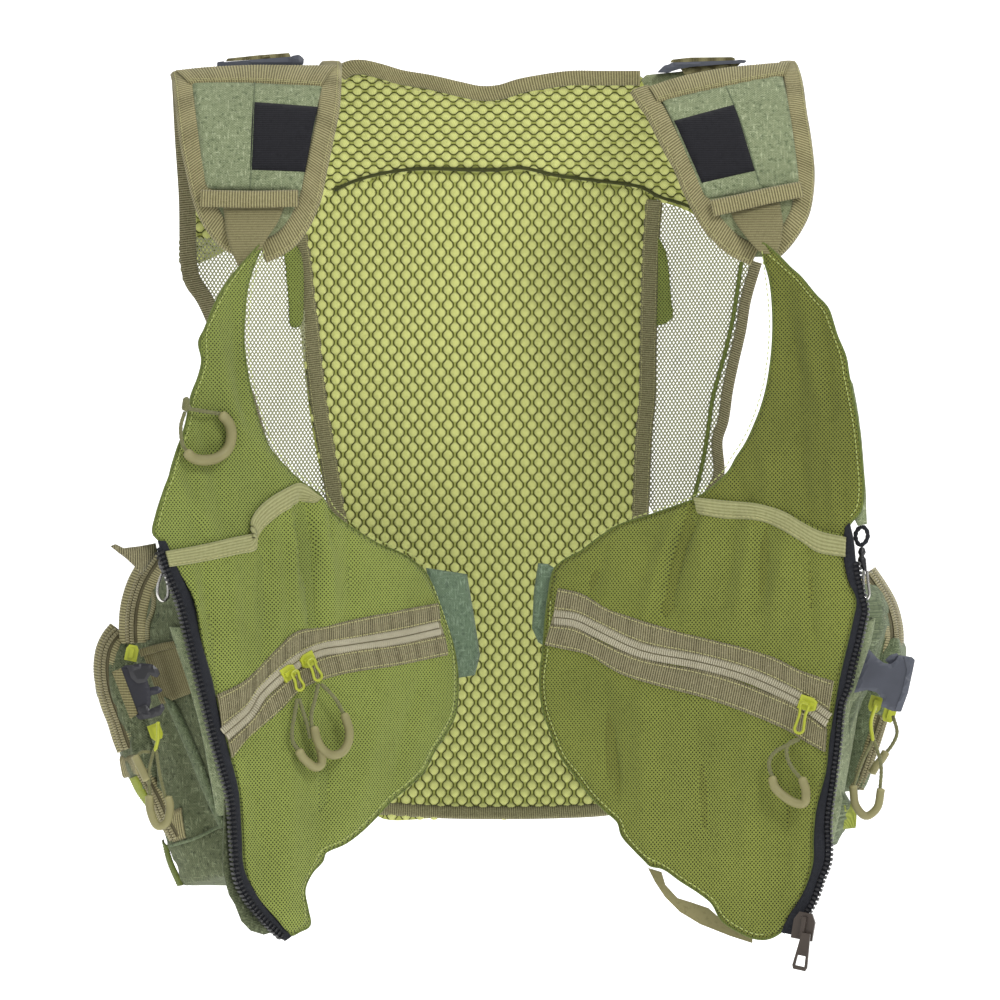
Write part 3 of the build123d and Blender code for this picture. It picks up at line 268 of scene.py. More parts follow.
# The right copies of the lining mesh and the pocket mesh are darker than the left ones: painted
# shade on the right front.
LINING = {
    "left": mesh_lining("lining_mesh", (130, 142, 68), (26, 34, 4), (156, 168, 94),
                        cell=2.0, mottle=0.24, sheen=0.08),
    "right": mesh_lining("lining_mesh_right_painted_shade", (116, 122, 52), (24, 30, 2), (140, 147, 78),
                         cell=2.0, mottle=0.24, sheen=0.06)}
POCKET_MESH = {
    "left": mesh_lining("pocket_mesh", (136, 148, 70), (26, 34, 4), (162, 175, 98),
                        cell=1.95, mottle=0.28, sheen=0.08),
    "right": mesh_lining("pocket_mesh_right_painted_shade", (124, 132, 58), (24, 30, 2), (152, 160, 86),
                         cell=1.95, mottle=0.28, sheen=0.06)}
HEATHER = heather("heather_pad", (138, 148, 112), (66, 80, 52), (182, 190, 156))
HEATHER_SIDE = heather("heather_side", (104, 124, 98), (60, 76, 60), (146, 166, 142))
HEATHER_TAB = heather("heather_tab", (112, 124, 92), (66, 78, 56), (150, 162, 130))
POCKET_CLOTH = {
    "left": heather("pocket_cloth", (96, 104, 74), (30, 38, 24), (142, 150, 116),
                    on="object", mottle=0.2),
    "right": heather("pocket_cloth_green", (102, 114, 82), (40, 50, 34), (146, 158, 124),
                     on="object", mottle=0.2)}
SHELL = heather("shell_cloth", (104, 116, 84), (58, 68, 46), (140, 152, 116), on="object")
PAD_CLOTH = heather("pad_cloth", (136, 143, 106), (80, 90, 58), (170, 178, 144), on="object")
FOAM = fabric("air_foam", (210, 214, 132), (156, 162, 76), (234, 237, 176), "foam",
              (1.1, 1.2), contrast=0.5, flecks=0.28, mottle=0.1, on="object")
FOAM_BASE = fabric("air_base", (180, 186, 98), (120, 126, 44), (206, 211, 134), "foam",
                   (1.1, 1.2), contrast=0.6, flecks=0.2, mottle=0.1, on="object")
# Dark olive yarn between the foam cells: partly the yarn's own colour, partly painted shade of
# the grooves between the cells. The yoke seam tube also uses it as painted shade.
YARN_AND_GROOVE_SHADE = fabric("honeycomb_yarn_groove_shade", (62, 66, 20), (38, 41, 10), (92, 98, 40), "plain",
              (0.8, 0.8), contrast=0.5, flecks=0.3, on="object")
NET = fabric("side_net", (162, 164, 128), (120, 122, 84), (198, 198, 168), "plain",
             (0.8, 0.8), contrast=0.4, flecks=0.3, on="object", sheen=0.1)
ZIP_TAPE = fabric("zip_tape_black", (34, 36, 42), (14, 14, 18), (62, 64, 72), "plain",
                  (0.9, 0.9), contrast=0.7, flecks=0.35, sheen=0.05)
COIL_TAN = hard("coil_tan", (182, 176, 152), (146, 139, 112), rough=0.4, grain=0.1)
COIL_TAPE = fabric("coil_tape", (142, 136, 110), (104, 98, 72), (172, 166, 140), "plain",
                   (0.9, 0.9), contrast=0.5, flecks=0.3, sheen=0.05)
COIL_SHADOW = hard("coil_shadow", (84, 78, 52), (66, 60, 38), rough=0.8, grain=0.1)
COIL_POCKET = hard("coil_pocket", (150, 143, 108), (118, 111, 78), rough=0.55, grain=0.1)
LIME = hard("slider_lime", (156, 163, 40), (126, 132, 24), rough=0.36, metal=0.05, grain=0.08,
            coat=0.15)
LIME_CLOTH = fabric("lime_tab", (150, 160, 62), (100, 110, 34), (182, 190, 98), "rib",
                    (1.1, 1.1), contrast=0.6, flecks=0.4, on="object")
CORD = fabric("cord_olive", (116, 116, 78), (72, 72, 42), (150, 150, 110), "plain",
              (1.3, 1.3), contrast=0.7, flecks=0.4, on="object")
GRIP = hard("grip_olive", (136, 131, 90), (106, 101, 64), rough=0.5, grain=0.15, specular=0.35)
SLATE = hard("buckle_slate", (70, 73, 82), (48, 50, 58), rough=0.45, grain=0.7, specular=0.35)
SLATE_DARK = hard("buckle_slate_dark", (34, 34, 42), (20, 20, 26), rough=0.4, grain=0.6,
                  specular=0.4)
BLACK = hard("acetal_black", (26, 26, 30), (13, 13, 15), rough=0.38, grain=0.3)
BROWN = hard("slider_dark", (58, 50, 44), (36, 30, 26), rough=0.35, metal=0.3, grain=0.2)
STEEL = hard("steel_wire", (206, 204, 198), (150, 148, 140), rough=0.22, metal=1.0, grain=0.1)
THREAD = fabric("thread_light", (188, 184, 130), (132, 126, 80), (210, 206, 162), "plain",
                (0.7, 0.7), contrast=0.5, flecks=0.4, on="object")
THREAD_GREEN = fabric("thread_green", (186, 196, 118), (132, 142, 70), (206, 214, 146),
                      "plain", (0.7, 0.7), contrast=0.5, flecks=0.4, on="object")
PIPING = fabric("piping_green", (104, 117, 50), (54, 62, 20), (128, 140, 76), "rib",
                (1.2, 1.2), contrast=0.6, flecks=0.4, on="object")


# ------------------------------------------------------------------ lines and outlines
def unit_rows(rows):
    return rows / (np.linalg.norm(rows, axis=1)[:, None] + 1e-9)


def run_length(path):
    """Distance along the path at each of its points."""
    return np.r_[0, np.cumsum(np.linalg.norm(np.diff(path, axis=0), axis=1))]


def even(path, step=None, n=None):
    """The same run with equal spacing, by step or by number of points."""
    dist = run_length(path)
    keep = np.r_[True, np.diff(dist) > 1e-9]
    path, dist = path[keep], dist[keep]
    count = n or max(2, int(round(dist[-1] / step)) + 1)
    s = np.linspace(0, dist[-1], count)
    return np.stack([np.interp(s, dist, path[:, j]) for j in range(path.shape[1])], 1)


def spline(path, step, closed=False):
    """Smooth run through the points (centripetal Catmull-Rom), evenly spaced."""
    P = np.asarray(path, float)
    n = len(P)
    if n == 2 and not closed:
        k = max(2, int(round(np.linalg.norm(P[1] - P[0]) / step)) + 1)
        return P[0] + (P[1] - P[0]) * np.linspace(0, 1, k)[:, None]
    out = []
    for i in range(n if closed else n - 1):
        p1, p2 = P[i], P[(i + 1) % n]
        p0 = P[(i - 1) % n] if closed or i > 0 else 2 * p1 - p2
        p3 = P[(i + 2) % n] if closed or i < n - 2 else 2 * p2 - p1
        d1, d2, d3 = (max(np.linalg.norm(b - a), 1e-6) ** 0.5
                      for a, b in ((p0, p1), (p1, p2), (p2, p3)))
        m1 = (p2 - p1) / d2 - (p2 - p0) / (d1 + d2) + (p1 - p0) / d1
        m2 = (p3 - p2) / d3 - (p3 - p1) / (d2 + d3) + (p2 - p1) / d2
        m1, m2 = m1 * d2, m2 * d2
        k = max(2, int(np.linalg.norm(p2 - p1) / step * 3))
        t = np.linspace(0, 1, k, endpoint=False)[:, None]
        out.append((2 * t**3 - 3 * t**2 + 1) * p1 + (t**3 - 2 * t**2 + t) * m1
                   + (-2 * t**3 + 3 * t**2) * p2 + (t**3 - t**2) * m2)
    dense = np.vstack(out + ([P[:1]] if closed else [P[-1:]]))
    return even(dense, step)[: -1 if closed else None]


def resample(path, count):
    return even(spline(path, 1.0), n=count)


def offset(path, distance):
    """The run moved sideways in its plane; positive is to the left of its direction."""
    line = spline(path, 2.0)
    along = unit_rows(np.gradient(line, axis=0))
    return line + np.c_[-along[:, 1], along[:, 0]] * distance


def inside(outline, P):
    x, y = P[:, 0], P[:, 1]
    result = np.zeros(len(P), bool)
    for (x1, y1), (x2, y2) in zip(outline, np.roll(outline, -1, 0)):
        if y1 == y2:
            continue
        result ^= ((y1 > y) != (y2 > y)) & (x < (x2 - x1) * (y - y1) / (y2 - y1) + x1)
    return result


def edge_dist(outline, P):
    """Least distance from each point to the outline's points."""
    out = np.full(len(P), 1e9)
    for i in range(0, len(P), 4000):  # in blocks, to limit memory
        block = P[i : i + 4000]
        out[i : i + 4000] = np.sqrt(((block[:, None] - outline[None]) ** 2).sum(2).min(1))
    return out


def fill(outline, step):
    """Even triangles inside a closed outline: flat points and faces."""
    low, high = outline.min(0), outline.max(0)
    rows = []
    for j, y in enumerate(np.arange(low[1] + step * 0.5, high[1], step * 0.866)):
        x = np.arange(low[0] + (step / 2 if j % 2 else 0), high[0], step)
        rows.append(np.c_[x, np.full(len(x), y)])
    grid = np.vstack(rows)
    grid = grid[inside(outline, grid)]
    grid = grid[edge_dist(outline, grid) > step * 0.55]
    verts = [Vector(p) for p in np.vstack([outline, grid])]
    v, _, f, _, _, _ = delaunay_2d_cdt(verts, [], [list(range(len(outline)))], 1, 1e-5)
    V = np.array([tuple(p) for p in v])
    F = np.array([tuple(q) for q in f if len(q) == 3])
    a, b, c = V[F[:, 0]], V[F[:, 1]], V[F[:, 2]]
    turn = (b[:, 0] - a[:, 0]) * (c[:, 1] - a[:, 1]) - (b[:, 1] - a[:, 1]) * (c[:, 0] - a[:, 0])
    F[turn < 0] = F[turn < 0][:, ::-1]
    return V, F


def at_depth(xz, depth):
    """Points at y = depth seen from EYE where (x, z) lies on the plane y = 0."""
    depth = np.zeros(len(xz)) + depth
    k = (depth - EYE[1]) / -EYE[1]
    return np.c_[EYE[0] + (xz[:, 0] - EYE[0]) * k, depth, EYE[2] + (xz[:, 1] - EYE[2]) * k]


def seen(P):
    """Elevation (x, z) on the plane y = 0 of points seen from EYE, and the scale to it."""
    k = EYE[1] / (EYE[1] - P[:, 1])
    return EYE[0] + (P[:, 0] - EYE[0]) * k, EYE[2] + (P[:, 2] - EYE[2]) * k, k


# ------------------------------------------------------------------ surfaces
def fold_height(ab, folds):
    """Height of the cloth folds; each is a ridge or valley along a line."""
    height = np.zeros(len(ab))
    for x0, y0, x1, y1, width, rise in folds:
        along = np.array([x1 - x0, y1 - y0])
        length = np.linalg.norm(along)
        along = along / length
        q = ab - np.array([x0, y0])
        t = (q @ along) / length
        aside = q @ np.array([-along[1], along[0]])
        held = np.clip(t, 0, 1)
        beyond = (np.abs(t - held) * length / (width * 1.6)) ** 2
        fade = np.exp(-beyond) * (0.55 + 0.45 * np.sin(np.pi * np.clip(held, 0.05, 0.95)))
        bend = 0.9 * np.sin(t * 5.0 + x0)
        height += rise * fade * np.exp(-(((aside + bend) / width) ** 2))
    return height


class Flat:
    """Plane with coordinates (across, up), optional folds and a slow wave."""

    def __init__(self, origin, across, up, out, folds=(), wave=0.0, phase=0.0):
        self.origin, self.across, self.up, self.out = (
            np.array(a, float) for a in (origin, across, up, out))
        self.folds, self.wave, self.phase = folds, wave, phase

    def at(self, ab, h=0.0):
        ab = np.asarray(ab, float)
        height = np.zeros(len(ab)) + h
        if len(self.folds):
            height = height + fold_height(ab, self.folds)
        if self.wave:
            x, y = ab[:, 0], ab[:, 1]
            s = self.phase
            height = height + self.wave * (
                np.sin(x / 17.0 + y / 41.0 + s) * np.cos(y / 29.0 - x / 53.0 + 2 * s)
                + 0.5 * np.sin(x / 9.0 - y / 23.0 + 3 * s))
        return (self.origin + ab[:, :1] * self.across + ab[:, 1:2] * self.up
                + height[:, None] * self.out)


class Curved:
    """Sheet bent fore and aft, with coordinates (x, distance up the sheet)."""

    def __init__(self, profile):
        line = spline(profile, 1.5)
        self.y, self.z = line[:, 0], line[:, 1]
        self.s = run_length(line) + profile[0][1]
        self.slope_y = np.gradient(self.y, self.s)
        self.slope_z = np.gradient(self.z, self.s)

    def map(self, xz, lift=0.0):
        """Sheet coordinates of elevation points (x, z) that lie a height off the sheet."""
        z = self.z + self.slope_y / np.hypot(self.slope_y, self.slope_z) * lift
        top = int(np.argmax(z))
        z = np.maximum.accumulate(z[: top + 1])
        if lift:
            z = z + np.arange(top + 1) * 1e-6  # keeps the heights rising
        s = np.interp(xz[:, 1], z, self.s[: top + 1])
        return np.c_[xz[:, 0], s + np.minimum(0, xz[:, 1] - z[0])]

    def at(self, ab, h=0.0):
        s = ab[:, 1]
        y, z, slope_y, slope_z = (np.interp(s, self.s, values)
                                  for values in (self.y, self.z, self.slope_y, self.slope_z))
        n = np.hypot(slope_y, slope_z)
        slope_y, slope_z = slope_y / n, slope_z / n
        below = np.minimum(0, s - self.s[0])
        above = np.maximum(0, s - self.s[-1])
        y = y + below * self.slope_y[0] + above * self.slope_y[-1]
        z = z + below * self.slope_z[0] + above * self.slope_z[-1]
        return np.c_[ab[:, 0], y - slope_z * h, z + slope_y * h]


# ------------------------------------------------------------------ shapes
# A shape is (points in mm, faces, uv in mm or None).
def make(name, shape, material, body="back", replaces=(), thick=None, smooth=True):
    """New object from a shape. body is what it rides on (None for nothing)."""
    V, F, uv = shape
    mesh = bpy.data.meshes.new(name)
    verts = np.asarray(V, float) / 1000.0
    mesh.from_pydata([tuple(p) for p in verts], [], [tuple(int(i) for i in f) for f in F])
    mesh.update()
    if uv is not None:
        layer = mesh.uv_layers.new(name="UVMap")
        corner = np.empty(len(mesh.loops), int)
        mesh.loops.foreach_get("vertex_index", corner)
        flat_uv = (np.asarray(uv, float)[corner] / 1000.0).astype(np.float32).ravel()
        layer.data.foreach_set("uv", flat_uv)
    if smooth:
        mesh.polygons.foreach_set("use_smooth", [True] * len(mesh.polygons))
    mesh.materials.append(material)
    obj = bpy.data.objects.new(name, mesh)
    bpy.context.scene.collection.objects.link(obj)
    if thick:
        solid = obj.modifiers.new("thick", "SOLIDIFY")
        solid.thickness = thick / 1000.0
        solid.offset = -1
        solid.use_even_offset = False
    if body:
        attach(obj, body)
    if replaces:
        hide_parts(*replaces)
    return obj


def join(shapes):
    V, F, U, start = [], [], [], 0
    for verts, faces, uv in shapes:
        V.append(verts)
        F.extend([tuple(int(i) + start for i in q) for q in faces])
        U.append(uv)
        start += len(verts)
    return np.vstack(V), F, None if U[0] is None else np.vstack(U)


def grid_faces(n, m):
    """Quads of an n by m grid of points."""
    i = (np.arange(n - 1)[:, None] * m + np.arange(m - 1)[None]).ravel()
    return np.stack([i, i + 1, i + 1 + m, i + m], 1)


def used_only(count, faces):
    """Mask of the points that faces use, and the faces renumbered to them."""
    used = np.zeros(count, bool)
    used[faces.ravel()] = True
    return used, (np.cumsum(used) - 1)[faces]


def sheet(surface, outline, h, step):
    """Cloth inside a smooth closed outline."""
    flat, faces = fill(spline(outline, step * 0.6, True), step)
    return surface.at(flat, h), faces, flat


def patch(surface, outlines, h, rounding):
    """Cloth inside outlines with straight sides, lowered at the edge by the rounding."""
    shapes = []
    for corners in outlines:
        sides = zip(corners, np.roll(corners, -1, 0))
        outline = np.vstack([spline([a, b], 2.0)[:-1] for a, b in sides])
        flat, faces = fill(outline, 3.0)
        lowered = h - rounding * np.exp(-(edge_dist(outline, flat) / 1.4) ** 2)
        shapes.append((surface.at(flat, lowered), faces, flat))
    return join(shapes)


def strip(surface, edge_a, edge_b, h=0.0, step=0.8, across=6, rib=0.13, rib_pitch=1.55,
          edge=0.5, ridges=0, dome=0.25, wave=0.0):
    """Tape between two edge lines, on a surface or (surface None) between runs in space.

    rib is the height of the cross ribs, ridges the number of lengthwise ones, edge the drop
    at both sides, dome the rise in the middle and wave a slow lift along the tape."""
    A, B = spline(edge_a, 1.0), spline(edge_b, 1.0)
    longest = max(np.linalg.norm(np.diff(e, axis=0), axis=1).sum() for e in (A, B))
    n = max(3, int(longest / step) + 1)
    A, B = even(A, n=n), even(B, n=n)
    t = np.linspace(0, 1, across + 1)
    G = A[:, None] * (1 - t)[None, :, None] + B[:, None] * t[None, :, None]
    middle = (A + B) / 2
    dist = run_length(middle)
    width = np.linalg.norm(B - A, axis=1).mean()
    H = np.zeros((n, across + 1)) + h
    if rib:
        H += rib * np.sin(2 * np.pi * dist / rib_pitch)[:, None]
    if ridges:
        H += 0.18 * np.cos(2 * np.pi * t * ridges)[None]
    H += dome * np.sin(np.pi * t)[None]
    H[:, 0] -= edge
    H[:, -1] -= edge
    if wave:
        H += wave * np.sin(dist / 7.0)[:, None] * (0.6 + 0.4 * np.cos(np.pi * t))[None]
    uv = np.stack([np.broadcast_to(dist[:, None], H.shape),
                   np.broadcast_to(t[None] * width, H.shape)], 2).reshape(-1, 2)
    if surface is not None:
        V = surface.at(G.reshape(-1, 2), H.ravel())
    else:
        normal = unit_rows(np.cross(np.gradient(middle, axis=0), B - A))
        normal[normal[:, 1] > 0] *= -1
        V = (G + normal[:, None] * H[:, :, None]).reshape(-1, 3)
    F = grid_faces(n, across + 1)
    a, b, c = V[F[:, 0]], V[F[:, 1]], V[F[:, 3]]
    if np.cross(b - a, c - a)[:, 1].mean() > 0:  # turn the faces to the viewer
        F = F[:, ::-1]
    return V, F, uv


def ribbon(surface, path, width, h, **form):
    return strip(surface, offset(path, width / 2), offset(path, -width / 2), h, **form)


def carried_frames(P):
    """Tangent and two side directions along a run in space, without twist."""
    T = np.gradient(P, axis=0)
    T /= np.linalg.norm(T, axis=1)[:, None] + 1e-12
    start = np.array([0, -1.0, 0]) if abs(T[0][1]) < 0.9 else np.array([1.0, 0, 0])
    N = np.zeros_like(P)
    n = start - T[0] * (start @ T[0])
    N[0] = n / np.linalg.norm(n)
    for i in range(1, len(P)):
        n = N[i - 1] - T[i] * (N[i - 1] @ T[i])
        N[i] = n / (np.linalg.norm(n) + 1e-12)
    return T, N, np.cross(T, N)


def tube(path, radius, step=1.2, seg=8, closed=False, taper=None, braid=0.0):
    """Round cord along a run in space; taper is (shares of length, radius factors)."""
    P = spline(path, step, closed)
    if closed:
        P = np.vstack([P, P[:1]])
    T, N, B = carried_frames(P)
    n = len(P)
    angle = np.linspace(0, 2 * np.pi, seg, endpoint=False)
    dist = run_length(P)
    R = np.full(n, float(radius))
    if taper is not None:
        R = R * np.interp(dist / dist[-1], *taper)
    twist = dist[:, None] * 2 * np.pi / (radius * 2.4) + angle[None] * 2
    R = R[:, None] * (1 + braid * np.sin(twist))
    V = P[:, None] + R[:, :, None] * (np.cos(angle)[None, :, None] * N[:, None]
                                      + np.sin(angle)[None, :, None] * B[:, None])
    V = V.reshape(-1, 3)
    F = []
    for i in range(n - 1):
        for j in range(seg):
            k = (j + 1) % seg
            F.append((i * seg + j, i * seg + k, (i + 1) * seg + k, (i + 1) * seg + j))
    if not closed:
        V = np.vstack([V, P[:1] - T[:1] * radius * 0.35, P[-1:] + T[-1:] * radius * 0.35])
        first, last = len(V) - 2, len(V) - 1
        for j in range(seg):
            k = (j + 1) % seg
            F.append((first, k, j))
            F.append((last, (n - 1) * seg + j, (n - 1) * seg + k))
    uv = np.zeros((len(V), 2))
    uv[: n * seg, 0] = np.repeat(dist, seg)
    uv[: n * seg, 1] = np.tile(angle * radius, n)
    return V, F, uv


def slab(outline, near, far):
    """Solid plate seen as the outline, between two depths in y, with a rounded rim."""
    line = even(np.vstack([outline, outline[:1]]), 1.2)[:-1]
    flat, faces = fill(line, 2.2)
    rounding = 0.9 * np.exp(-((edge_dist(line, flat) / 0.9) ** 2))
    n = len(flat)
    faces = [tuple(int(i) for i in f) for f in faces]
    edges = [(f[i], f[(i + 1) % 3]) for f in faces for i in range(3)]
    known = set(edges)
    rim = [(b, a, a + n, b + n) for a, b in edges if (b, a) not in known]
    back_faces = [tuple(i + n for i in f[::-1]) for f in faces]
    V = np.vstack([at_depth(flat, near + rounding), at_depth(flat, far - rounding)])
    return V, faces + back_faces + rim, None


def teeth(surface, path, profile, pitch, sides, h):
    """Zip teeth along a line. profile is (distances out, heights, half widths); sides lists
    1 for the row left of the line's direction and -1 for the row right of it."""
    line = spline(path, 0.6)
    dist = run_length(line)

    def spot(s):
        return np.array([np.interp(s, dist, line[:, j]) for j in (0, 1)])

    m = len(profile[0])
    V, F, start = [], [], 0
    for i in range(int(dist[-1] / pitch)):
        for side in sides:
            s = (i + (0.5 if side > 0 else 1.0)) * pitch
            if s > dist[-1]:
                continue
            along = spot(min(s + 0.5, dist[-1])) - spot(max(s - 0.5, 0))
            along = along / (np.linalg.norm(along) + 1e-9)
            aside = np.array([-along[1], along[0]]) * side
            flat, heights = [], []
            for out, height, half in zip(*profile):
                for e, share in ((-1, 0.0), (-0.55, 1.0), (0.55, 1.0), (1, 0.0)):
                    flat.append(spot(s) + aside * out + along * half * e)
                    heights.append(h + height * share)
            V.append(surface.at(np.array(flat), np.array(heights)))
            quads = grid_faces(m, 4)
            F.append((quads if side < 0 else quads[:, ::-1]) + start)
            for row, turn in ((0, 1), (m - 1, -1)):  # end caps
                cap = start + row * 4 + np.arange(4)
                F.append((cap if turn * side < 0 else cap[::-1])[None])
            start += m * 4
    return np.vstack(V), np.vstack(F), None


SEAMS = {}  # stitch shapes by (body, name suffix)


def stitch(surface, path, h, pitch, length, radius, body="back", suffix=""):
    """Row of raised stitches along a line; all rows of one key become one object."""
    line = spline(path, 0.4)
    dist = run_length(line)
    for i in range(int(dist[-1] / pitch)):
        start = i * pitch + (pitch - length) / 2
        s = start + length * np.array([0, 0.22, 0.5, 0.78, 1.0])
        ab = np.c_[np.interp(s, dist, line[:, 0]), np.interp(s, dist, line[:, 1])]
        d = ab[-1] - ab[0]
        d /= np.linalg.norm(d) + 1e-9
        aside = np.array([-d[1], d[0]]) * (radius * np.array([0.6, 1, 1, 1, 0.6]))[:, None]
        height = h + np.array([-0.25, 0.12, 0.2, 0.12, -0.25])
        V = np.stack([surface.at(ab + aside, height - 0.16),
                      surface.at(ab, height + radius * 0.7),
                      surface.at(ab - aside, height - 0.16)], 1).reshape(-1, 3)
        uv = np.zeros((len(V), 2))
        SEAMS.setdefault((body, suffix), []).append((V, grid_faces(5, 3)[:, ::-1], uv))


def air_mesh(name, surface, outline, h, pitch, cell, crosswise=False):
    """Raised foam cells between waved yarns, which run up the sheet or crosswise."""
    outline = spline(outline, 3.0, True)

    def swap(a):
        return a[:, ::-1] if crosswise else a

    border = swap(outline)
    low, high = border.min(0), border.max(0)
    half = pitch / 2
    first, last = int(low[0] // half), int(high[0] // half) + 2

    # foam cells: a rounded ring, a smaller raised ring and a crown
    centres = np.array([(k * half, j * cell + (k % 2) * cell / 2)
                        for k in range(first - 1, last)
                        for j in range(int(low[1] // cell) - 1, int(high[1] // cell) + 2)])
    centres = centres[inside(border, centres)]
    centres = centres[edge_dist(border, centres) > 2.2]
    m = 12
    angle = np.linspace(0, 2 * np.pi, m, endpoint=False)
    cos, sin = np.cos(angle), np.sin(angle)
    ring = np.c_[np.sign(cos) * np.abs(cos) ** 0.85 * 2.82,
                 np.sign(sin) * np.abs(sin) ** 0.9 * 3.02]
    bump = np.vstack([np.c_[ring, np.zeros(m)], np.c_[ring * 0.8, np.full(m, 0.85)],
                      [[0, 0, 1.15]]])
    faces = []
    for i in range(m):
        j = (i + 1) % m
        faces += [(i, j, m + j, m + i), (m + i, m + j, 2 * m)]
    V = (centres[:, None, :] + bump[None, :, :2]).reshape(-1, 2)
    uneven = 0.12 * np.sin(centres[:, 0] * 3.3) * np.cos(centres[:, 1] * 2.1)
    H = np.tile(bump[:, 2], len(centres)) + np.repeat(uneven, len(bump))
    F = []
    for i in range(len(centres)):
        for face in faces:
            face = tuple(i * len(bump) + a for a in face)
            F.append(face[::-1] if crosswise else face)
    make(name + "_cells", (surface.at(swap(V), h + H), F, swap(V)), FOAM)

    # yarns: three points across, the middle one raised, in a dark colour that is partly painted
    # shade of the grooves between the cells
    sway, half_width = 1.2, 0.27
    V, H, F, start = [], [], [], 0
    for k in range(first - 2, last):
        q = np.arange(low[1], high[1], 0.75)
        c = np.cos(2 * np.pi * (q - (k % 2) * cell / 2) / cell)
        line = np.c_[k * half + pitch / 4 + sway * np.sign(c) * np.abs(c) ** 0.65, q]
        within = inside(border, line)
        g = np.gradient(line, axis=0)
        g /= np.linalg.norm(g, axis=1)[:, None]
        aside = np.c_[-g[:, 1], g[:, 0]] * half_width
        V.append(np.stack([line + aside, line, line - aside], 1).reshape(-1, 2))
        H.append(np.tile([0.3, 0.75, 0.3], len(q)))
        for i in range(len(q) - 1):
            if within[i] and within[i + 1]:
                for b in (start + i * 3, start + i * 3 + 1):
                    face = (b + 1, b, b + 3, b + 4)
                    F.append(face if crosswise else face[::-1])
        start += 3 * len(q)
    V, H = np.vstack(V), np.concatenate(H)
    used, F = used_only(len(V), np.array(F))
    V = swap(V[used])
    make(name + "_yarn", (surface.at(V, h + 0.15 + H[used]), F, V), YARN_AND_GROOVE_SHADE)


def net(name, surface, outline, replaces=()):
    """Open knitted net: zigzag threads that meet at their turns."""
    row_pitch, cell, thread = 1.75, 2.3, 1.36
    outline = spline(outline, 3.0, True)
    low, high = outline.min(0), outline.max(0)
    V, F, start = [], [], 0
    for j, y in enumerate(np.arange(low[1], high[1], row_pitch)):
        x = np.arange(low[0], high[0], cell / 2)
        turn = np.where((np.arange(len(x)) + j) % 2 == 0, 1.0, -1.0)
        line = np.c_[x, y + turn * row_pitch * 0.44 + 1.2 * np.sin(x / 31.0)]
        within = inside(outline, line)
        V.append(np.stack([line + [0, thread / 2], line - [0, thread / 2]], 1).reshape(-1, 2))
        for k in range(len(x) - 1):
            if within[k] and within[k + 1]:
                b = start + 2 * k
                F.append((b, b + 1, b + 3, b + 2))
        start += 2 * len(x)
    V = np.vstack(V)
    used, F = used_only(len(V), np.array(F))
    V = V[used]
    make(name, (surface.at(V), F, V), NET, replaces=replaces, thick=0.4,
         smooth=False)


# ------------------------------------------------------------------ soft bodies
def get_points(mesh):
    """Mesh points, in metres."""
    co = np.empty(len(mesh.vertices) * 3)
    mesh.vertices.foreach_get("co", co)
    return co.reshape(-1, 3)


def set_points(mesh, co):
    mesh.vertices.foreach_set("co", co.ravel())
    mesh.update()


def inflate(obj):
    """Cloth run with inner pressure; returns the points where it ends."""
    last_frame = 20
    cloth = obj.modifiers.new("c", "CLOTH")
    settings = cloth.settings
    settings.quality = 4
    settings.mass = 0.25
    settings.tension_stiffness = 12
    settings.compression_stiffness = 12
    settings.bending_stiffness = 0.6
    settings.use_pressure = True
    settings.uniform_pressure_force = 4.0
    settings.effector_weights.gravity = 0
    cloth.point_cache.frame_start = 1
    cloth.point_cache.frame_end = last_frame
    scene = bpy.context.scene
    for number in range(1, last_frame + 1):
        scene.frame_set(number)
    evaluated = obj.evaluated_get(bpy.context.evaluated_depsgraph_get())
    result = get_points(evaluated.to_mesh())
    evaluated.to_mesh_clear()
    obj.modifiers.clear()
    scene.frame_set(1)
    return result


def soft(name, node, material, body, voxel, shrink, cap, relax, hold=None):
    """Padded cloth grown from a CAD solid: remeshed, shrunk, relaxed, then inflated.

    cap is the most a point may move. hold is (point, direction, height): cloth doesn't swell
    past that plane into the panel it is sewn to."""
    obj = bpy.data.objects.new(name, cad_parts[node].data.copy())
    bpy.context.scene.collection.objects.link(obj)
    remesh = obj.modifiers.new("r", "REMESH")
    remesh.mode = "VOXEL"
    remesh.voxel_size = voxel / 1000
    remesh.use_smooth_shade = True
    graph = bpy.context.evaluated_depsgraph_get()
    mesh = bpy.data.meshes.new_from_object(obj.evaluated_get(graph))
    obj.modifiers.clear()
    obj.data = mesh
    mesh.materials.clear()
    mesh.materials.append(material)
    co = get_points(mesh)
    co = co - np.array([v.normal for v in mesh.vertices]) * shrink / 1000
    edges = np.array([e.vertices[:] for e in mesh.edges])
    degree = np.bincount(edges.ravel(), minlength=len(co))[:, None]
    for _ in range(relax):
        total = np.zeros_like(co)
        np.add.at(total, edges[:, 0], co[edges[:, 1]])
        np.add.at(total, edges[:, 1], co[edges[:, 0]])
        co = co * 0.5 + 0.5 * total / degree
    set_points(mesh, co)
    move = inflate(obj) - co
    length = np.linalg.norm(move, axis=1)[:, None]
    before = co
    co = co + move * np.minimum(1, cap / 1000 / np.maximum(length, 1e-9))
    if hold is not None:
        origin, out = np.array(hold[0], float) / 1000, np.array(hold[1], float)
        now, then = (co - origin) @ out, (before - origin) @ out
        excess = np.maximum(now - np.maximum(then, hold[2] / 1000), 0)
        co = co - excess[:, None] * out
    set_points(mesh, co)
    mesh.polygons.foreach_set("use_smooth", [True] * len(mesh.polygons))
    subdivision = obj.modifiers.new("sub", "SUBSURF")
    subdivision.levels = subdivision.render_levels = 1
    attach(obj, body)
    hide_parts(node)
    bpy.context.view_layer.update()
    return obj


def crease(obj, path, depth, width, sign=-1.0):
    """Pushes a soft piece in (or out, sign 1) along a seen line."""
    co = get_points(obj.data) * 1000
    x, z, _ = seen(co)
    normals = np.array([v.normal for v in obj.data.vertices])
    near = np.exp(-((edge_dist(spline(path, 1.5), np.c_[x, z]) / width) ** 2))
    co += normals * (sign * depth * near)[:, None]
    set_points(obj.data, co / 1000)


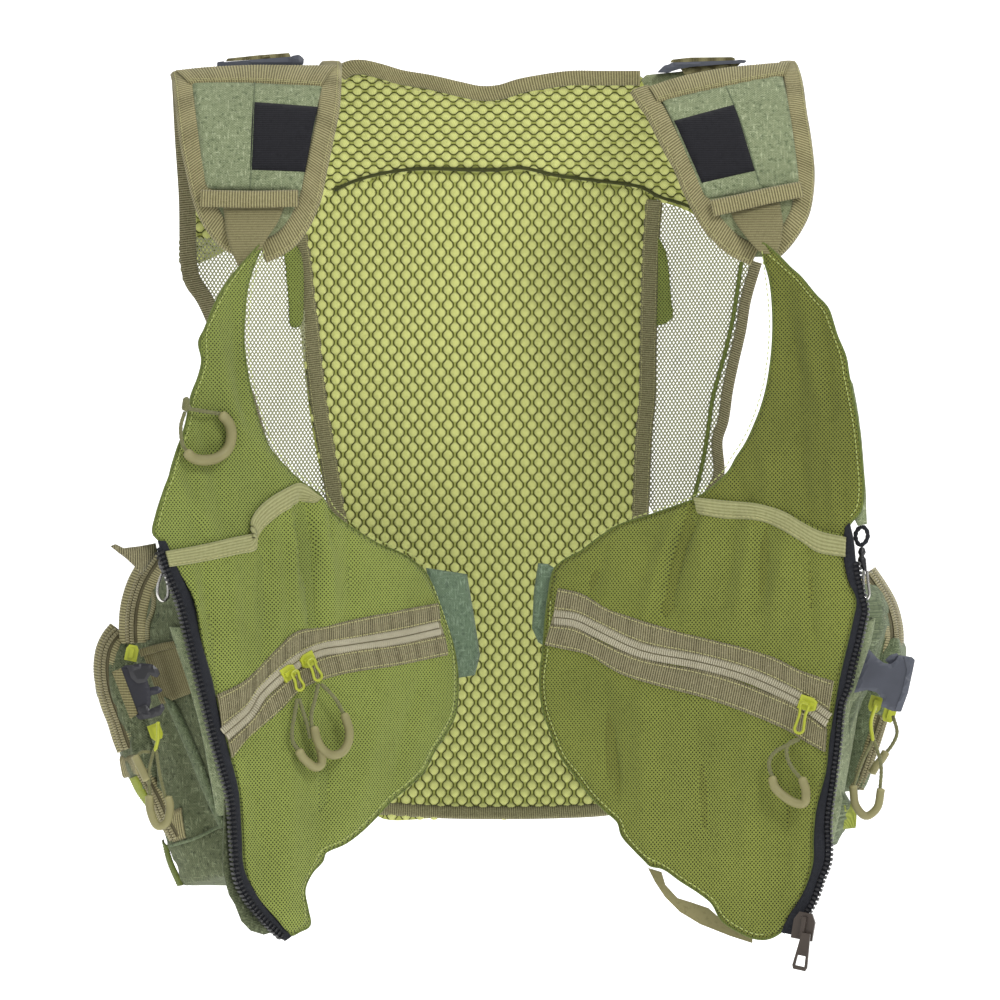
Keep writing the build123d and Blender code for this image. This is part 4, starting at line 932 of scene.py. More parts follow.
def tuck(obj, right_of, below):
    """Draws cloth seen right of and below a corner back towards -X."""
    co = get_points(obj.data) * 1000
    x, z, _ = seen(co)
    co[:, 0] -= np.clip(x - right_of, 0, 40) * 0.95 * np.clip((below - z) / 12.0, 0, 1)
    set_points(obj.data, co / 1000)


def fit_side(objects, edge_line, sign):
    """Moves the pocket cloth sideways so that its outer edge follows the seen line."""
    reach, most = 42.0, 9.5  # how far inwards the move fades, and the largest move
    edge_line = edge_line[np.argsort(edge_line[:, 1])]
    places = [get_points(obj.data) * 1000 for obj in objects]
    views = [seen(co) for co in places]
    X = np.concatenate([v[0] for v in views]) * sign
    Z = np.concatenate([v[1] for v in views])
    levels = np.arange(Z.min(), Z.max() + 2, 3.0)
    outer = []
    for z in levels:
        near = np.abs(Z - z) < 4.0
        outer.append(X[near].max() if near.any() else np.nan)
    outer = np.array(outer)
    known = ~np.isnan(outer)
    outer = np.interp(levels, levels[known], outer[known])
    target = np.interp(levels, edge_line[:, 1], edge_line[:, 0] * sign)
    shift = np.clip(target - outer, -most, most)
    shift[(levels < edge_line[0, 1]) | (levels > edge_line[-1, 1])] = 0
    for _ in range(3):
        shift[1:-1] = (shift[:-2] + 2 * shift[1:-1] + shift[2:]) / 4
    trees = []
    for obj, co, (x, z, k) in zip(objects, places, views):
        inward = np.interp(z, levels, outer) - x * sign
        share = np.clip(1 - inward / reach, 0, 1)
        share = share * share * (3 - 2 * share)
        co[:, 0] += sign * np.interp(z, levels, shift) * share / k
        set_points(obj.data, co / 1000)
        obj.data.calc_loop_triangles()
        triangles = [tuple(t.vertices) for t in obj.data.loop_triangles]
        trees.append(BVHTree.FromPolygons([tuple(p) for p in co / 1000], triangles))
    return trees


class Cast:
    """Lays elevation (x, z) paths on soft pieces as they are seen from EYE."""

    def __init__(self, trees):
        self.trees = trees

    def hit_depth(self, x, z, lift):
        """y of the nearest cloth seen at (x, z), lifted off it; None where there is none."""
        d = np.array([x, 0.0, z]) - EYE
        d /= np.linalg.norm(d)
        found = []
        for tree in self.trees:
            hit = tree.ray_cast(Vector(EYE / 1000), Vector(d))
            if hit[0] is not None:
                n = np.array(hit[1])
                if n @ d > 0:
                    n = -n
                found.append(hit[0][1] * 1000 + n[1] * lift)
        return min(found) if found else None

    def run(self, path, lift=0.0):
        line = spline(path, 2.0)
        depths = [self.hit_depth(x, z, 0.6 + lift) for x, z in line]
        known = np.array([d is not None for d in depths])
        y = np.full(len(line), -125.0)
        if known.any():
            i = np.arange(len(line))
            y = np.interp(i, i[known], np.array([d for d in depths if d is not None]))
        for _ in range(3):
            y[1:-1] = (y[:-2] + 2 * y[1:-1] + y[2:]) / 4
        return at_depth(line, y)

    def strip(self, edge_a, edge_b, lift, **form):
        return strip(None, self.run(edge_a, lift), self.run(edge_b, lift), **form)

    def quad(self, corners, lift, **form):
        """Strip over a four-cornered outline."""
        return self.strip(corners[:2], corners[:1:-1], lift, **form)

    def ribbon(self, path, width, lift, **form):
        return self.strip(offset(path, width / 2), offset(path, -width / 2), lift, **form)


# ------------------------------------------------------------------ back and yoke
# Profiles are (y, z); the outlines and lines below are elevations (x, z).
BACK = Curved([(0, -10), (0, 100), (0, 335), (0, 355), (-2, 375), (-8, 395), (-18, 415),
               (-30, 432), (-42, 447)])
back_outline = points("""
-93,377.4 -81,381 -63,384.6 -42,387 -12,386.4 6,386.4 18,387 42,382.8 66,379.8 87.6,376.2 99,372
97.2,309 94.2,231 91.8,180 87,69 82.8,9 66,0 42,-1.8 6,-1.8 -30,-1.8 -68.4,0 -72,33 -85.2,105
-96,183 -103.2,213 -109.2,249 -114,297 -116.4,345 -114,364.2""")
yoke_outline = points("""
-85.3,444.7 -76.4,445.7 -64.7,442.5 -53,440.3 -35.3,438.2 -17.7,433.8 -5.8,431.7 6,432.8
29.6,437.6 41.4,439.8 65,439.3 88.7,438.2 96,431.7 124,439.3 174.1,441.4 178.6,415.1
183.4,374.8 171,342 147,342 133.2,351 120,361.7 101.9,368.3 89.9,374.2 65.9,378.3 41.9,381.3
18,385.3 6,384.8 -12,384.8 -41.9,385.3 -62.9,383 -80.9,378.3 -92.9,374.8 -110.9,365.3
-150,343.2 -180,331.8 -181.7,368.9 -182.5,403.8 -181.5,433.8 -141.6,439.3""")
neckline = points("""
-88.4,439.2 -82.4,442.4 -75.3,442.9 -64.8,440.8 -53,437.6 -35.4,434.8 -17.7,431 -5.8,428.8
6,429.4 17.8,432.7 29.6,434.8 47.3,437 65.1,437 88.7,437""")
yoke_seam_shade_line = points("""
-93,375 -81,380.4 -63,385.2 -42,387.6 -12,387 6,387 18,388.2 42,383.4 66,380.4 90,376.8
102,370.8 120,364.8 135,354""")
side_left = points("""
-114.5,347.3 -112.1,331.7 -109.7,308.9 -107.3,291 -104.9,267 -102,243 -97.8,219 -93,189
-85.2,141 -76.8,87 -69.6,33.1 -67.2,5.5""")
side_right = points("""
98.4,368.9 96.6,344.9 95.4,308.9 94.8,279 94.2,249 92.4,231 90,180 86.4,105 82.8,45.1
79.8,5.5""")
hem_line = points("-69.5,4.4 -30,2 6,1.4 42,2 65.9,3.2 82.7,5.6")


def build_back():
    back, yoke = BACK.map(back_outline), BACK.map(yoke_outline)
    make("back_base", sheet(BACK, back, 0.0, step=7), FOAM_BASE,
         replaces=("back_panel",), thick=2.2)
    air_mesh("back", BACK, back, h=0.1, pitch=8.4, cell=9.0)
    make("yoke_base", sheet(BACK, yoke, 0.4, step=6), FOAM_BASE,
         replaces=("back_yoke",), thick=2.4)
    air_mesh("yoke", BACK, yoke, h=0.5, pitch=8.6, cell=8.7, crosswise=True)
    make("back_shell", sheet(BACK, back, -2.6, step=8), SHELL, thick=0.6)
    make("yoke_shell", sheet(BACK, yoke, -2.4, step=7), SHELL, thick=0.6)

    neck = BACK.map(neckline, lift=2.0) + [0, 0.6]
    make("neck_binding", ribbon(BACK, neck, 10.4, 2.6, rib=0.2, rib_pitch=1.6, edge=1.3),
         GROSGRAIN, replaces=("back_bindings",), thick=4.6)
    sides = [BACK.map(side_left), BACK.map(side_right)]
    runs = zip(sides + [BACK.map(hem_line)], (10.5, 10.5, 8.0))
    make("side_bindings",
         join([ribbon(BACK, line, width, 1.7, rib=0.16, rib_pitch=1.3, edge=1.0)
               for line, width in runs]), BINDING, thick=1.0)
    for line in sides:
        for aside in (3.8, -3.8):
            stitch(BACK, offset(line, aside), 1.9, pitch=2.6, length=1.6, radius=0.2)
    stitch(BACK, offset(BACK.map(neckline), -3.4), 3.6, pitch=2.4, length=1.5, radius=0.2)
    # raised tube along the yoke seam; its dark yarn colour is painted shade along the seam
    seam = BACK.at(spline(BACK.map(yoke_seam_shade_line), 2.0), 1.7)
    make("yoke_seam_shade_line", tube(seam, 1.0, step=2.0), YARN_AND_GROOVE_SHADE)


build_back()

# ------------------------------------------------------------------ side nets
# Upright planes beside the lower back; points are (across, up - 200) in the net's plane.
NET_LEFT = Flat((-105.0, 0.5, 200.0), (0.91355, 0.40674, 0.0), (0, 0, 1.0),
                (0.40674, -0.91355, 0.0), wave=0.8, phase=0.5)
NET_RIGHT = Flat((99.0, 0.5, 200.0), (0.91355, -0.40674, 0.0), (0, 0, 1.0),
                 (-0.40674, -0.91355, 0.0), wave=0.8, phase=1.5)
net_outline_left = points("""
-20.7,140.8 -12.4,141.7 -7.9,114.8 -4.1,84.9 -0.2,49 4.3,25 9.4,-5 4.3,-14 -25.8,-9.2 -34.1,6.9
-40.4,30.7 -48,54.4 -57.4,75.1 -68.1,95.6 -76.2,110.3 -83.1,117.8 -85.6,127.8 -85.6,142.5
-54.3,143.4""")
net_outline_right = points("""
0.2,166 22.7,161.1 36.7,151.1 51.3,140 65.2,130.1 57.6,107.7 53.2,90 48.1,72.3 45,54.5
41.8,36.6 39.3,24.7 38,3.9 34.2,-8 -3,-18.2 -6.2,31 -4.3,49 -3,109.1""")
net_edge_left = points("""
-85.6,237 -84.9,225.2 -83.7,201.7 -81.2,166.3 -80.6,142.7 -80,129.7 -77.5,118.5 -71.2,109.8
-66.2,100.4 -61.2,88.7 -53,71 -44.8,51.5 -37.9,29.5 -30.9,6.9""")
net_edge_right = points("""
65.2,130.1 58.3,107.7 55.1,90 50.7,72.2 46.9,54.4 44.3,36.6 40.5,24.7 41.2,3.9 36.1,-6.2""")
net_piping = points("""
55.7,130.3 53.2,113.8 50,96 45.6,78.2 40.5,60.5 37.4,48.6 34.8,30.7 31.6,12.9 25.2,-11""")
net_tab_left = points("""
-20.7,144.4 -11.1,139.9 -7.9,108.8 -9.8,93.2 -15.6,92.5 -17.5,108.6 -19.4,129.5""")
net_tab_right = points("0.9,147.4 6.7,138.8 10.5,108.8 11.2,98 0.2,94 -1.7,121")


def build_side_nets():
    net("side_net_left", NET_LEFT, net_outline_left, replaces=("side_wings",))
    net("side_net_right", NET_RIGHT, net_outline_right)
    for side, surface, line, width in (("left", NET_LEFT, net_edge_left, 10.4),
                                       ("right", NET_RIGHT, net_edge_right, 7.2)):
        make(f"net_edge_{side}",
             ribbon(surface, line, width, 1.6, rib=0.16, rib_pitch=1.4, edge=0.9),
             GROSGRAIN_INNER, thick=1.0)
    make("net_piping_right",
         tube(NET_RIGHT.at(spline(net_piping, 2.0), 1.0), 1.3, step=1.5),
         PIPING)
    for side, surface, outline in (("left", NET_LEFT, net_tab_left),
                                   ("right", NET_RIGHT, net_tab_right)):
        make(f"net_tab_{side}", sheet(surface, outline, 1.4, step=4), LINING["left"],
             thick=0.8)


build_side_nets()

# ------------------------------------------------------------------ shoulder pads
# Elevations (x, z) on the pads' curved face.
PAD = Curved([(-127, 318), (-123, 345), (-116, 370), (-106, 398), (-92, 420), (-76, 434),
              (-60, 441), (-46, 440)])
# edge tapes: (middle line, width, sideways place of the stitches)
pad_edges = (
    (points("""
-178.2,436.9 -176,429.8 -172.9,411.9 -169.7,392.6 -166.5,378.5 -162.7,363.3 -159,352.9
-154.3,344.8 -147.5,336.8 -141.8,333.4"""), 13.0, -4.2),
    (points("""
-92.3,443.8 -91.9,429.8 -92.4,413.1 -95.8,392.6 -98.9,376.1 -101.5,361.6 -105.3,351.2
-109.2,343.7 -114.7,336.8 -122.6,331.7 -128.2,329.4"""), 13.4, 4.2),
    (points("""
86.5,425.8 90.8,418.1 95.2,411.3 100.5,399.7 105.5,389 110.9,378.5 115.3,366.8 120.2,356.4
125.2,347.1 131.3,339.7 139.1,332.8 150.3,327.1"""), 13.0, -4.2),
    (points("""
173,443.8 174.8,429.8 175.8,411.9 177.8,393.8 179,376.1 178,363.3 175.5,352.3 169.7,341.4
163.9,334 158.3,328.8"""), 11.5, 4.2),
)
# upper cross tapes: (upper edge, lower edge), left then right
cross_tapes = (
    (points("-181.8,437.7 -162.5,440.1 -139.4,441.5 -110.3,441.5 -88.2,441.5"),
     points("-172.4,428.5 -155.2,429.1 -138,429.1 -114.8,427.8 -96.4,426.5")),
    (points("91.1,427.1 109.9,433.8 133.7,439.3 157.2,442.1 174.7,443.8"),
     points("96.4,416.8 115,421.9 135.4,426.5 155.9,431.1 170,433.8")),
)
# lower cross tapes: (middle line, width)
low_tapes = ((points("-163,359.7 -135.3,359.1 -108.2,359.7"), 10.0),
             (points("125.7,353.9 141.6,357.4 158.6,361.4 176.2,364.9"), 9.5))
sleeves = (points("-171.5,431 -95.8,428.3 -106.6,364.4 -160.9,365.5"),
           points("98.7,418.6 168.5,435.9 175.8,368.4 121.9,359.8"))
elastics = (points("-135.3,417.2 -98,414.1 -104.5,375.4 -135.6,376.5"),
            points("105.2,405.6 139.8,415.4 150.5,375.9 120.3,368.9"))
sleeve_seams = {"L": points("-135,428.9 -134.5,399.5 -135.4,364.9"),
                "R": points("135.8,426.3 144.8,399.5 153.1,367.8")}


def build_pads():
    soft("pads", "shoulder_pads", PAD_CLOTH, "back", voxel=4.0, shrink=1.6,
         cap=2.6, relax=3)
    make("pad_edge_tapes",
         join([ribbon(PAD, PAD.map(line, 5.6), width, 5.6, rib=0.22, rib_pitch=1.65, edge=1.6,
                      dome=0.6, across=8) for line, width, _ in pad_edges]),
         GROSGRAIN, replaces=("pad_bindings",), thick=1.2)
    for line, _, aside in pad_edges:
        stitch(PAD, offset(PAD.map(line, 6.3), aside), 6.3, pitch=2.2, length=1.5, radius=0.22)
    tapes = [strip(PAD, PAD.map(upper, 6.9), PAD.map(lower, 6.9), 6.9, rib=0.22,
                   rib_pitch=1.65, edge=1.2, dome=0.5, across=12)
             for upper, lower in cross_tapes]
    tapes += [ribbon(PAD, PAD.map(line, 10.6), width, 10.6, rib=0.22, rib_pitch=1.65,
                     edge=0.9, dome=0.3) for line, width in low_tapes]
    make("pad_cross_tapes", join(tapes), GROSGRAIN, thick=1.0)
    for _, lower in cross_tapes:
        for up in (1.9, 1.9 + 1.3):
            stitch(PAD, PAD.map(lower, 7.6) + [0, up], 7.6, pitch=2.0, length=1.4,
                   radius=0.22)
    make("pad_sleeves", patch(PAD, [PAD.map(o, 6.6) for o in sleeves], 6.6, rounding=0.7),
         HEATHER, replaces=("strap_sleeves",), thick=0.8)
    make("pad_elastics", patch(PAD, [PAD.map(o, 7.6) for o in elastics], 7.6, rounding=0.8),
         ELASTIC_BLACK, replaces=("elastic_keepers",), thick=0.9)
    for letter, line in sleeve_seams.items():
        seam = PAD.at(spline(PAD.map(line, 6.75), 2.0), 6.75)
        make("sleeve_seam_" + letter, tube(seam, 0.35, step=2.0), HEATHER_TAB)


build_pads()

# ------------------------------------------------------------------ fronts
# Each front lies in a plane with its origin at the strap tip.
PLANES = {
    "left": dict(origin=(-127.8, -138.0, 333.5), across=(0.84805, 0.52992, 0.0),
                 up=(-0.0314, 0.05025, 0.99824), out=(0.52899, -0.84656, 0.05926)),
    "right": dict(origin=(152.2, -138.0, 333.5), across=(0.96593, -0.25882, 0.0),
                  up=(0.01746, 0.06516, 0.99772), out=(-0.25823, -0.96373, 0.06746)),
}
# Folds: line start (x, y), line end (x, y), width, height.
upper_folds = {
    "left": points("""
-32.3,-50.1,-18.5,-111.4,5,3.06 -21.1,-33,-14.4,-100.1,3.3,-2.04
-42.9,-89.4,-29.3,-156,5,-2.72 -18.2,-100.2,6.1,-133.7,5,2.72
-59.7,-133.9,-35.8,-161.6,4.4,2.38 -53.1,-120,-45.1,-161.5,3.9,-2.04""", 6),
    "right": points("""
23.6,-32.8,39.1,-100.3,4.4,2.72 15,-32.7,24.5,-105.8,5,-2.72 36.2,-49.8,48.6,-145,3.3,-2.55
1.8,-105.7,8,-145,5,2.72 24.5,-111.4,28.4,-150.6,3.9,-3.06 42.5,-105.9,45.3,-156.1,3.3,3.06
-12.2,-128.1,-6.3,-145,3.9,-2.55""", 6),
}
pocket_folds = {
    "left": points("""
14.5,-149.4,17.7,-188.8,1.7,-4.42 22.2,-151.7,27.7,-178.8,1.5,-3.06
35.1,-151.7,37.7,-170.4,1.4,-2.72 28,-285.7,29.7,-313.8,1.4,-2.38
19.8,-144.9,23.4,-212.5,3.3,-5.44 10.6,-151.6,14.5,-209.5,3.9,4.08
32.6,-147.7,35.7,-209.9,5,3.74 47,-161.9,50,-208.4,5,-2.04
-42.6,-180.9,-39,-244.6,3.9,-2.72 -53.2,-183.6,-46.8,-216.8,3.3,2.72
-25.7,-179.4,-24.9,-233.9,5,2.38 -6.6,-174,-8.4,-228.7,3.3,-2.72
1.9,-164.5,1.9,-223.3,3.3,2.55 -17.7,-284,-12.4,-356.3,5.5,-2.04
8.4,-259.8,1.7,-368.1,7.7,2.72 34.1,-257.8,23.6,-341.5,6.6,-2.38
70.1,-253.1,44.8,-325.7,7.7,2.38 93.4,-248,71.4,-309.9,5,-2.04""", 6),
    "right": points("""
-37.6,-150.6,-51.7,-206.9,3.3,-5.1 -45.6,-153.4,-60.9,-208.1,5,3.74
-29,-153.4,-36.8,-209.6,5.5,2.72 7,-160.7,1.9,-200.9,3.9,-3.4
17.3,-167.3,11.7,-214.8,4.4,3.06 28.7,-174,34.3,-222.9,3.3,-2.72
-33,-151.7,-47.4,-190,1.8,-4.42 -80.6,-275.3,-76.6,-311.1,1.4,-3.4
-56.9,-203.6,-21.9,-207.8,3.3,-1.7 -11.8,-156.2,-18.6,-201.1,3.3,-2.38
-3.2,-159,-7.7,-206.6,3.9,2.38 -89.1,-179,-94.6,-201.6,5,-2.04
-85,-252.3,-80.1,-308.3,4.4,-2.72 -64.8,-257.6,-57.7,-341.4,6.6,2.72
-30.2,-265.5,-26.2,-351.7,6.6,-2.21 -1.8,-267.9,-1.6,-367.7,6.1,2.55
21,-281.4,18.5,-356.1,4.4,-2.38""", 6),
}
PLAIN = {side: Flat(**plane) for side, plane in PLANES.items()}
UPPER = {side: Flat(**PLANES[side], folds=upper_folds[side], wave=0.25, phase=phase)
         for side, phase in (("left", 0.3), ("right", 1.9))}
POCKET = {side: Flat(**PLANES[side], folds=pocket_folds[side], wave=0.45, phase=phase)
          for side, phase in (("left", 1.1), ("right", 2.3))}

# Outlines and lines in the panel's plane (across, up). panel, pocket and tab are outlines;
# arm, neck and side are stitch lines; the rest are edges or middle lines of tapes and zips.
FRONTS = {
    "left": dict(
        panel=points("""
-0.6,-0.7 -8.4,-7.8 -22.8,-23.4 -33.4,-40 -38,-50.2 -41.4,-56.9 -39.8,-66.9 -41.9,-75.3
-45.3,-83.7 -47.3,-89.3 -50.2,-100.5 -54.2,-111.6 -58.9,-122.7 -65.5,-139.3 -70.8,-153.1
-73,-163 -69.4,-166.9 -64.7,-173.5 -60.7,-182.4 -51.9,-200.1 -46.4,-222.3 -39.7,-244.6
-36.5,-261.2 -30.9,-283.5 -25.4,-305.9 -24.2,-328 -23,-350.2 -14.8,-367.2 -4.4,-378.9
4.8,-387.8 11.2,-386 17.7,-383 16.7,-374.6 15.1,-363.4 19.9,-354.1 27.2,-347.3 28.6,-343.4
41.7,-338.5 51.6,-332.8 61.6,-325.3 71.8,-316.7 85.3,-307.6 95.5,-299.5 102.6,-288.3
109.6,-280 116.7,-268.8 119.3,-254.5 119.1,-240.1 116.3,-225.6 112,-214 107.7,-202.4
104,-193.8 99.5,-186.2 93.1,-181 83.3,-175.2 70.2,-170.5 57.3,-163.6 47.7,-157.9 38.2,-150.5
33.3,-143.1 19.4,-134.1 10.1,-126.3 0.8,-116.8 -5.1,-102.8 -9.1,-88.8 -12.3,-72 -13.7,-55.2
-12.5,-38.3 -10.2,-24.2 -5.3,-11"""),
        arm=points("""
0.1,-4.2 -3.3,-11.1 -8.2,-24.2 -10.5,-38.3 -11.7,-55.2 -10.3,-72 -7.1,-88.3 -3,-101.7
2.9,-115.1 11.5,-124.6 20.9,-132.5 34.7,-141.5 39.7,-148.9 49.2,-156.3 58.1,-162 71,-168.9
84.1,-173.5 93.9,-179.3 100.3,-185.1"""),
        neck=points("""
-11.6,-11.4 -22.1,-24.6 -32,-40.6 -37.4,-51.4 -37.8,-67 -40.6,-76 -44,-84.4 -46,-90
-48.8,-101.1 -52.9,-112.2 -57.5,-123.3 -64.2,-139.9 -68.9,-153.2 -71.6,-162"""),
        side=points("""
103.4,-193.8 109.5,-209.4 113.7,-222.7 115.9,-237.1 116,-254.4 113.5,-267.5 106.4,-278.8
99.4,-287.1 92.3,-298.2 82.1,-306.4 69.3,-314.9 59.2,-323.5 49.1,-330.9 39.2,-336.6
26.2,-341.6 22.2,-347 17.5,-353.4 12.7,-363.2 13.6,-374.4 14,-381.1"""),
        pocket=points("""
-63.6,-174.1 -42.5,-170.4 -11.6,-163.4 -6.5,-160.6 -3.6,-151.7 2.9,-144.9 12.7,-139.9
21.7,-138.2 32.4,-144.4 37.4,-151.7 46.9,-159.1 56.4,-164.8 69.3,-171.7 82.4,-176.4
92.1,-182.2 97.9,-187.4 102.4,-194.9 106.1,-203 110.4,-214.6 114,-226.2 116.8,-240
117,-254.4 114.5,-268.1 107.4,-279.4 100.4,-287.7 93.3,-298.8 83.1,-307 69.6,-316.1
59.5,-324.6 49.5,-332.1 39.6,-337.8 26.5,-342.7 24.4,-347.6 17.8,-354 13,-363.2 14.6,-374.4
15,-381.1 4,-386 -4.6,-377.7 -14.3,-366.6 -21.9,-350.2 -23.1,-328.1 -24.3,-305.9 -29.8,-283.6
-35.4,-261.3 -38.6,-244.6 -45.4,-222.4 -50.9,-200.2 -59.6,-182.4"""),
        elastic_top=points("""
-67.4,-173.1 -46.4,-169.9 -27.6,-166.2 -11.7,-162.3 -14.1,-158.4 -11.4,-152.3 -4.9,-146.1
8,-138.8 19,-135.4 31,-143.3"""),
        elastic_foot=points("""
-65.2,-181.9 -44.8,-179.3 -24.7,-175.6 -10.2,-172.4 -10,-167.4 -6,-161.2 1.8,-155.1
10.9,-149.5 19.3,-146.1 26.4,-146.7"""),
        tape_top=points("""
106.1,-204.2 80.7,-207.8 54.3,-212 28.2,-216.6 15.3,-218 8.8,-220.7 -4.2,-231.6 -20.4,-245.1
-38.1,-252.9"""),
        coil_top=points("""
107.1,-215.2 80.3,-219.8 47.3,-224.3 27.9,-226.7 13.6,-232 -0.1,-240.6 -13,-251.4
-19.6,-260.1 -35.6,-271.8"""),
        coil_foot=points("""
109.5,-222.1 80,-226.6 47.2,-229.9 28.9,-232.9 16.6,-238.2 4.2,-246.3 -8.8,-256.5 -16,-265.8
-31.4,-278.5"""),
        tape_foot=points("""
111.7,-234.2 79.6,-239.2 40.2,-243.9 14.2,-251.6 -2.1,-265.1 -18.3,-276.8 -29.3,-288"""),
        coil=points("""
106.7,-218.6 79.3,-223.3 46.4,-227.1 26.9,-229.5 13.9,-234.8 1,-242.9 -12,-253.7 -18.6,-262.9
-34.6,-275.1"""),
        tab=points("""
104.2,-183.7 117.6,-185.6 131.1,-187.5 135,-211.3 138.3,-234.6 134.4,-246.1 122.9,-247.5
109,-239.7 107.6,-202.2"""),
        zip_in=points("""
-66.1,-167.4 -62.1,-175.7 -58.6,-183.5 -49.8,-200.1 -45.6,-222.3 -39.4,-244.6 -36.2,-261.2
-30.7,-283.5 -25.1,-305.9 -23.9,-328.1 -22.7,-350.2 -13.2,-367.3 -2.9,-379 5.7,-388.4"""),
        zip_out=points("""
-71,-167.4 -68.3,-177.9 -64.8,-186.2 -59.7,-200 -54.2,-222.1 -48.7,-244.3 -45.4,-258.2
-41.6,-274.9 -37.7,-288.8 -31.5,-311.1 -30.3,-333.3 -28.5,-355.4 -22.6,-366.8 -13,-378.4
1.2,-390.9"""),
        teeth=points("""
-70.4,-171.3 -67.6,-179 -64.2,-187.9 -58.4,-201.2 -52.9,-222.2 -47.4,-244.4 -44.1,-258.3
-40.2,-274.9 -36.3,-288.9 -30.2,-311.2 -29,-333.3 -27.2,-354.4 -21.3,-366.3 -11.6,-377.9
0.7,-389.2"""),
        teeth_side=-1),
    "right": dict(
        panel=points("""
1.3,-0.2 8.8,-5.9 17.5,-14.6 23.2,-19.7 31.8,-30 38.7,-37.4 42.2,-47 44,-52.6 49.2,-65
51,-75.1 54,-89.1 57,-105.9 58.8,-122.6 60.1,-139.4 58.6,-150.5 52.5,-158.3 50.3,-164.4
50.5,-178.3 52.8,-189.4 56.9,-200.5 55.3,-211.6 51.6,-228.3 47.9,-244.9 45.3,-261.6
42.7,-278.2 41.2,-294.8 38.5,-305.9 35.8,-317 34.4,-333.6 34.5,-344.7 31.8,-355.7 27.5,-366.9
22,-375.3 17.6,-383.7 9.8,-388.4 2.4,-388.6 -6.1,-385.5 -16.3,-379.2 -22.1,-369.9 -29,-364.6
-40.5,-357.7 -50.4,-351.3 -57.8,-349.8 -60.7,-347.1 -66.6,-341.6 -74.2,-333.4 -76.6,-326.2
-84.2,-319.7 -93,-311.4 -101.9,-300.4 -110.8,-289.3 -116.9,-275.3 -121.1,-264 -123.2,-247.1
-121.7,-230.1 -119.3,-201.7 -115.5,-183.6 -109.7,-179 -101.1,-174.4 -89.6,-165.9 -78.1,-159.1
-63.7,-154.5 -43.6,-147.7 -33.9,-143.8 -23.7,-136.5 -16.4,-129.2 -12.5,-122.4 -6.9,-114
-1.3,-102.8 4.2,-86 6.8,-71.9 8.3,-55 8.1,-38.1 6.2,-21.2 2.6,-8.7"""),
        arm=points("""
1.6,-4.3 4.1,-21.3 6,-38.2 6.2,-55.1 4.7,-72 2.1,-85.5 -3.4,-101.8 -9,-113 -14.6,-121.4
-18.5,-128.1 -25.2,-134.9 -34.9,-142.2 -43.4,-146.1 -63.5,-152.9 -78.4,-158 -90.5,-164.8
-102,-173.4 -110.7,-178.5 -114.7,-182.5"""),
        neck=points("""
5,-6.6 15.4,-15.8 21.7,-21.5 29.8,-31.2 36.6,-38.6 40.7,-48.2 47.1,-65.7 48.9,-75.8 51.9,-89.8
54.9,-106.5 56.8,-123.3 58,-138.9 56.5,-149.4 51.5,-156.1"""),
        side=points("""
-117.3,-201.8 -118.5,-230.1 -120.6,-247.1 -118.5,-264 -114.3,-275.2 -108.2,-289.2 -99.3,-299.8
-91,-310.3 -82.2,-318.5 -74.6,-325 -71.7,-332.2 -64.6,-340.4 -58.8,-345.3 -49.6,-349.5
-39.8,-356 -28.3,-362.9 -20.8,-368.2 -14.5,-377.4 -5.3,-383.2 3.2,-386.3 9.9,-386.1"""),
        pocket=points("""
-41,-149 -31.9,-144.5 -11.8,-145.6 5.2,-147.3 19.5,-152.9 28,-157.3 38.2,-161.7 49.5,-165.1
49,-177.3 51.4,-189.5 55.5,-200.6 53.9,-211.7 50.2,-228.3 46.5,-245 43.9,-261.6 41.2,-278.3
39.8,-294.9 37.1,-306 34.4,-317 32.9,-333.6 33.1,-344.6 30.4,-355.7 26.1,-366.9 20.6,-375.3
16.2,-383.7 10,-386.6 2.7,-386.8 -5.8,-383.8 -16.1,-377.5 -21.9,-368.8 -28.7,-363.4
-40.2,-356.5 -50,-350.1 -57.5,-348.1 -60.4,-345.3 -66.2,-339.9 -73.8,-331.7 -75.1,-326.1
-82.7,-319 -90.9,-310.8 -99.8,-299.8 -108.7,-288.7 -114.7,-274.7 -119,-263.5 -121,-247.1
-119.6,-230.1 -117.2,-201.8 -113.9,-184.8 -108.2,-180.2 -99.5,-175.6 -88,-167.1 -76.5,-160.3
-62.2,-155.8"""),
        elastic_top=points("""
-35.6,-143.4 -20.1,-145.1 2.7,-147.4 16.9,-151.8 25.4,-156.8 36.8,-162.4 51.4,-165.7"""),
        elastic_foot=points("""
-33.1,-153 -20,-155.2 2.8,-156.9 15.3,-161.9 25.6,-168 35.2,-174.1 51,-176.8"""),
        tape_top=points("""
-112.9,-195 -100.1,-197.8 -85.4,-205.6 -65.1,-212.7 -30.5,-221.9 3.7,-230 15,-234.3
26.4,-239.7 45.5,-245.6"""),
        coil_top=points("""
-115,-208 -102.2,-209.6 -87,-216.3 -63.7,-226.2 -29.3,-232.6 -6.4,-238.4 10.7,-244.9 27.7,-253
42.9,-262.8"""),
        coil_foot=points("""
-116.7,-215.4 -103.2,-217 -89.2,-223.6 -65.9,-233.5 -31.4,-239.8 -8.6,-245.7 8.5,-252.2
25.5,-259.7 41.3,-271.6"""),
        tape_foot=points("""
-120,-227.3 -111.2,-229.2 -94.8,-232.7 -83.2,-239.3 -75,-243.5 -51.9,-250.2 -29.5,-255.5
-11.2,-261.3 4.2,-266.9 21.2,-274.2 29.1,-279 40.4,-284.9"""),
        coil=points("""
-115.2,-211.5 -102.4,-213.1 -87.7,-219.7 -64.5,-229.6 -30,-236 -7.2,-241.8 9.9,-248.3
26.8,-256.4 42.7,-267.2"""),
        tab=points("""
-126.9,-180.5 -121,-181 -115.1,-184.4 -119.3,-212.9 -120.8,-228.8 -126.1,-225.5 -129.8,-217.5
-129,-195.9"""),
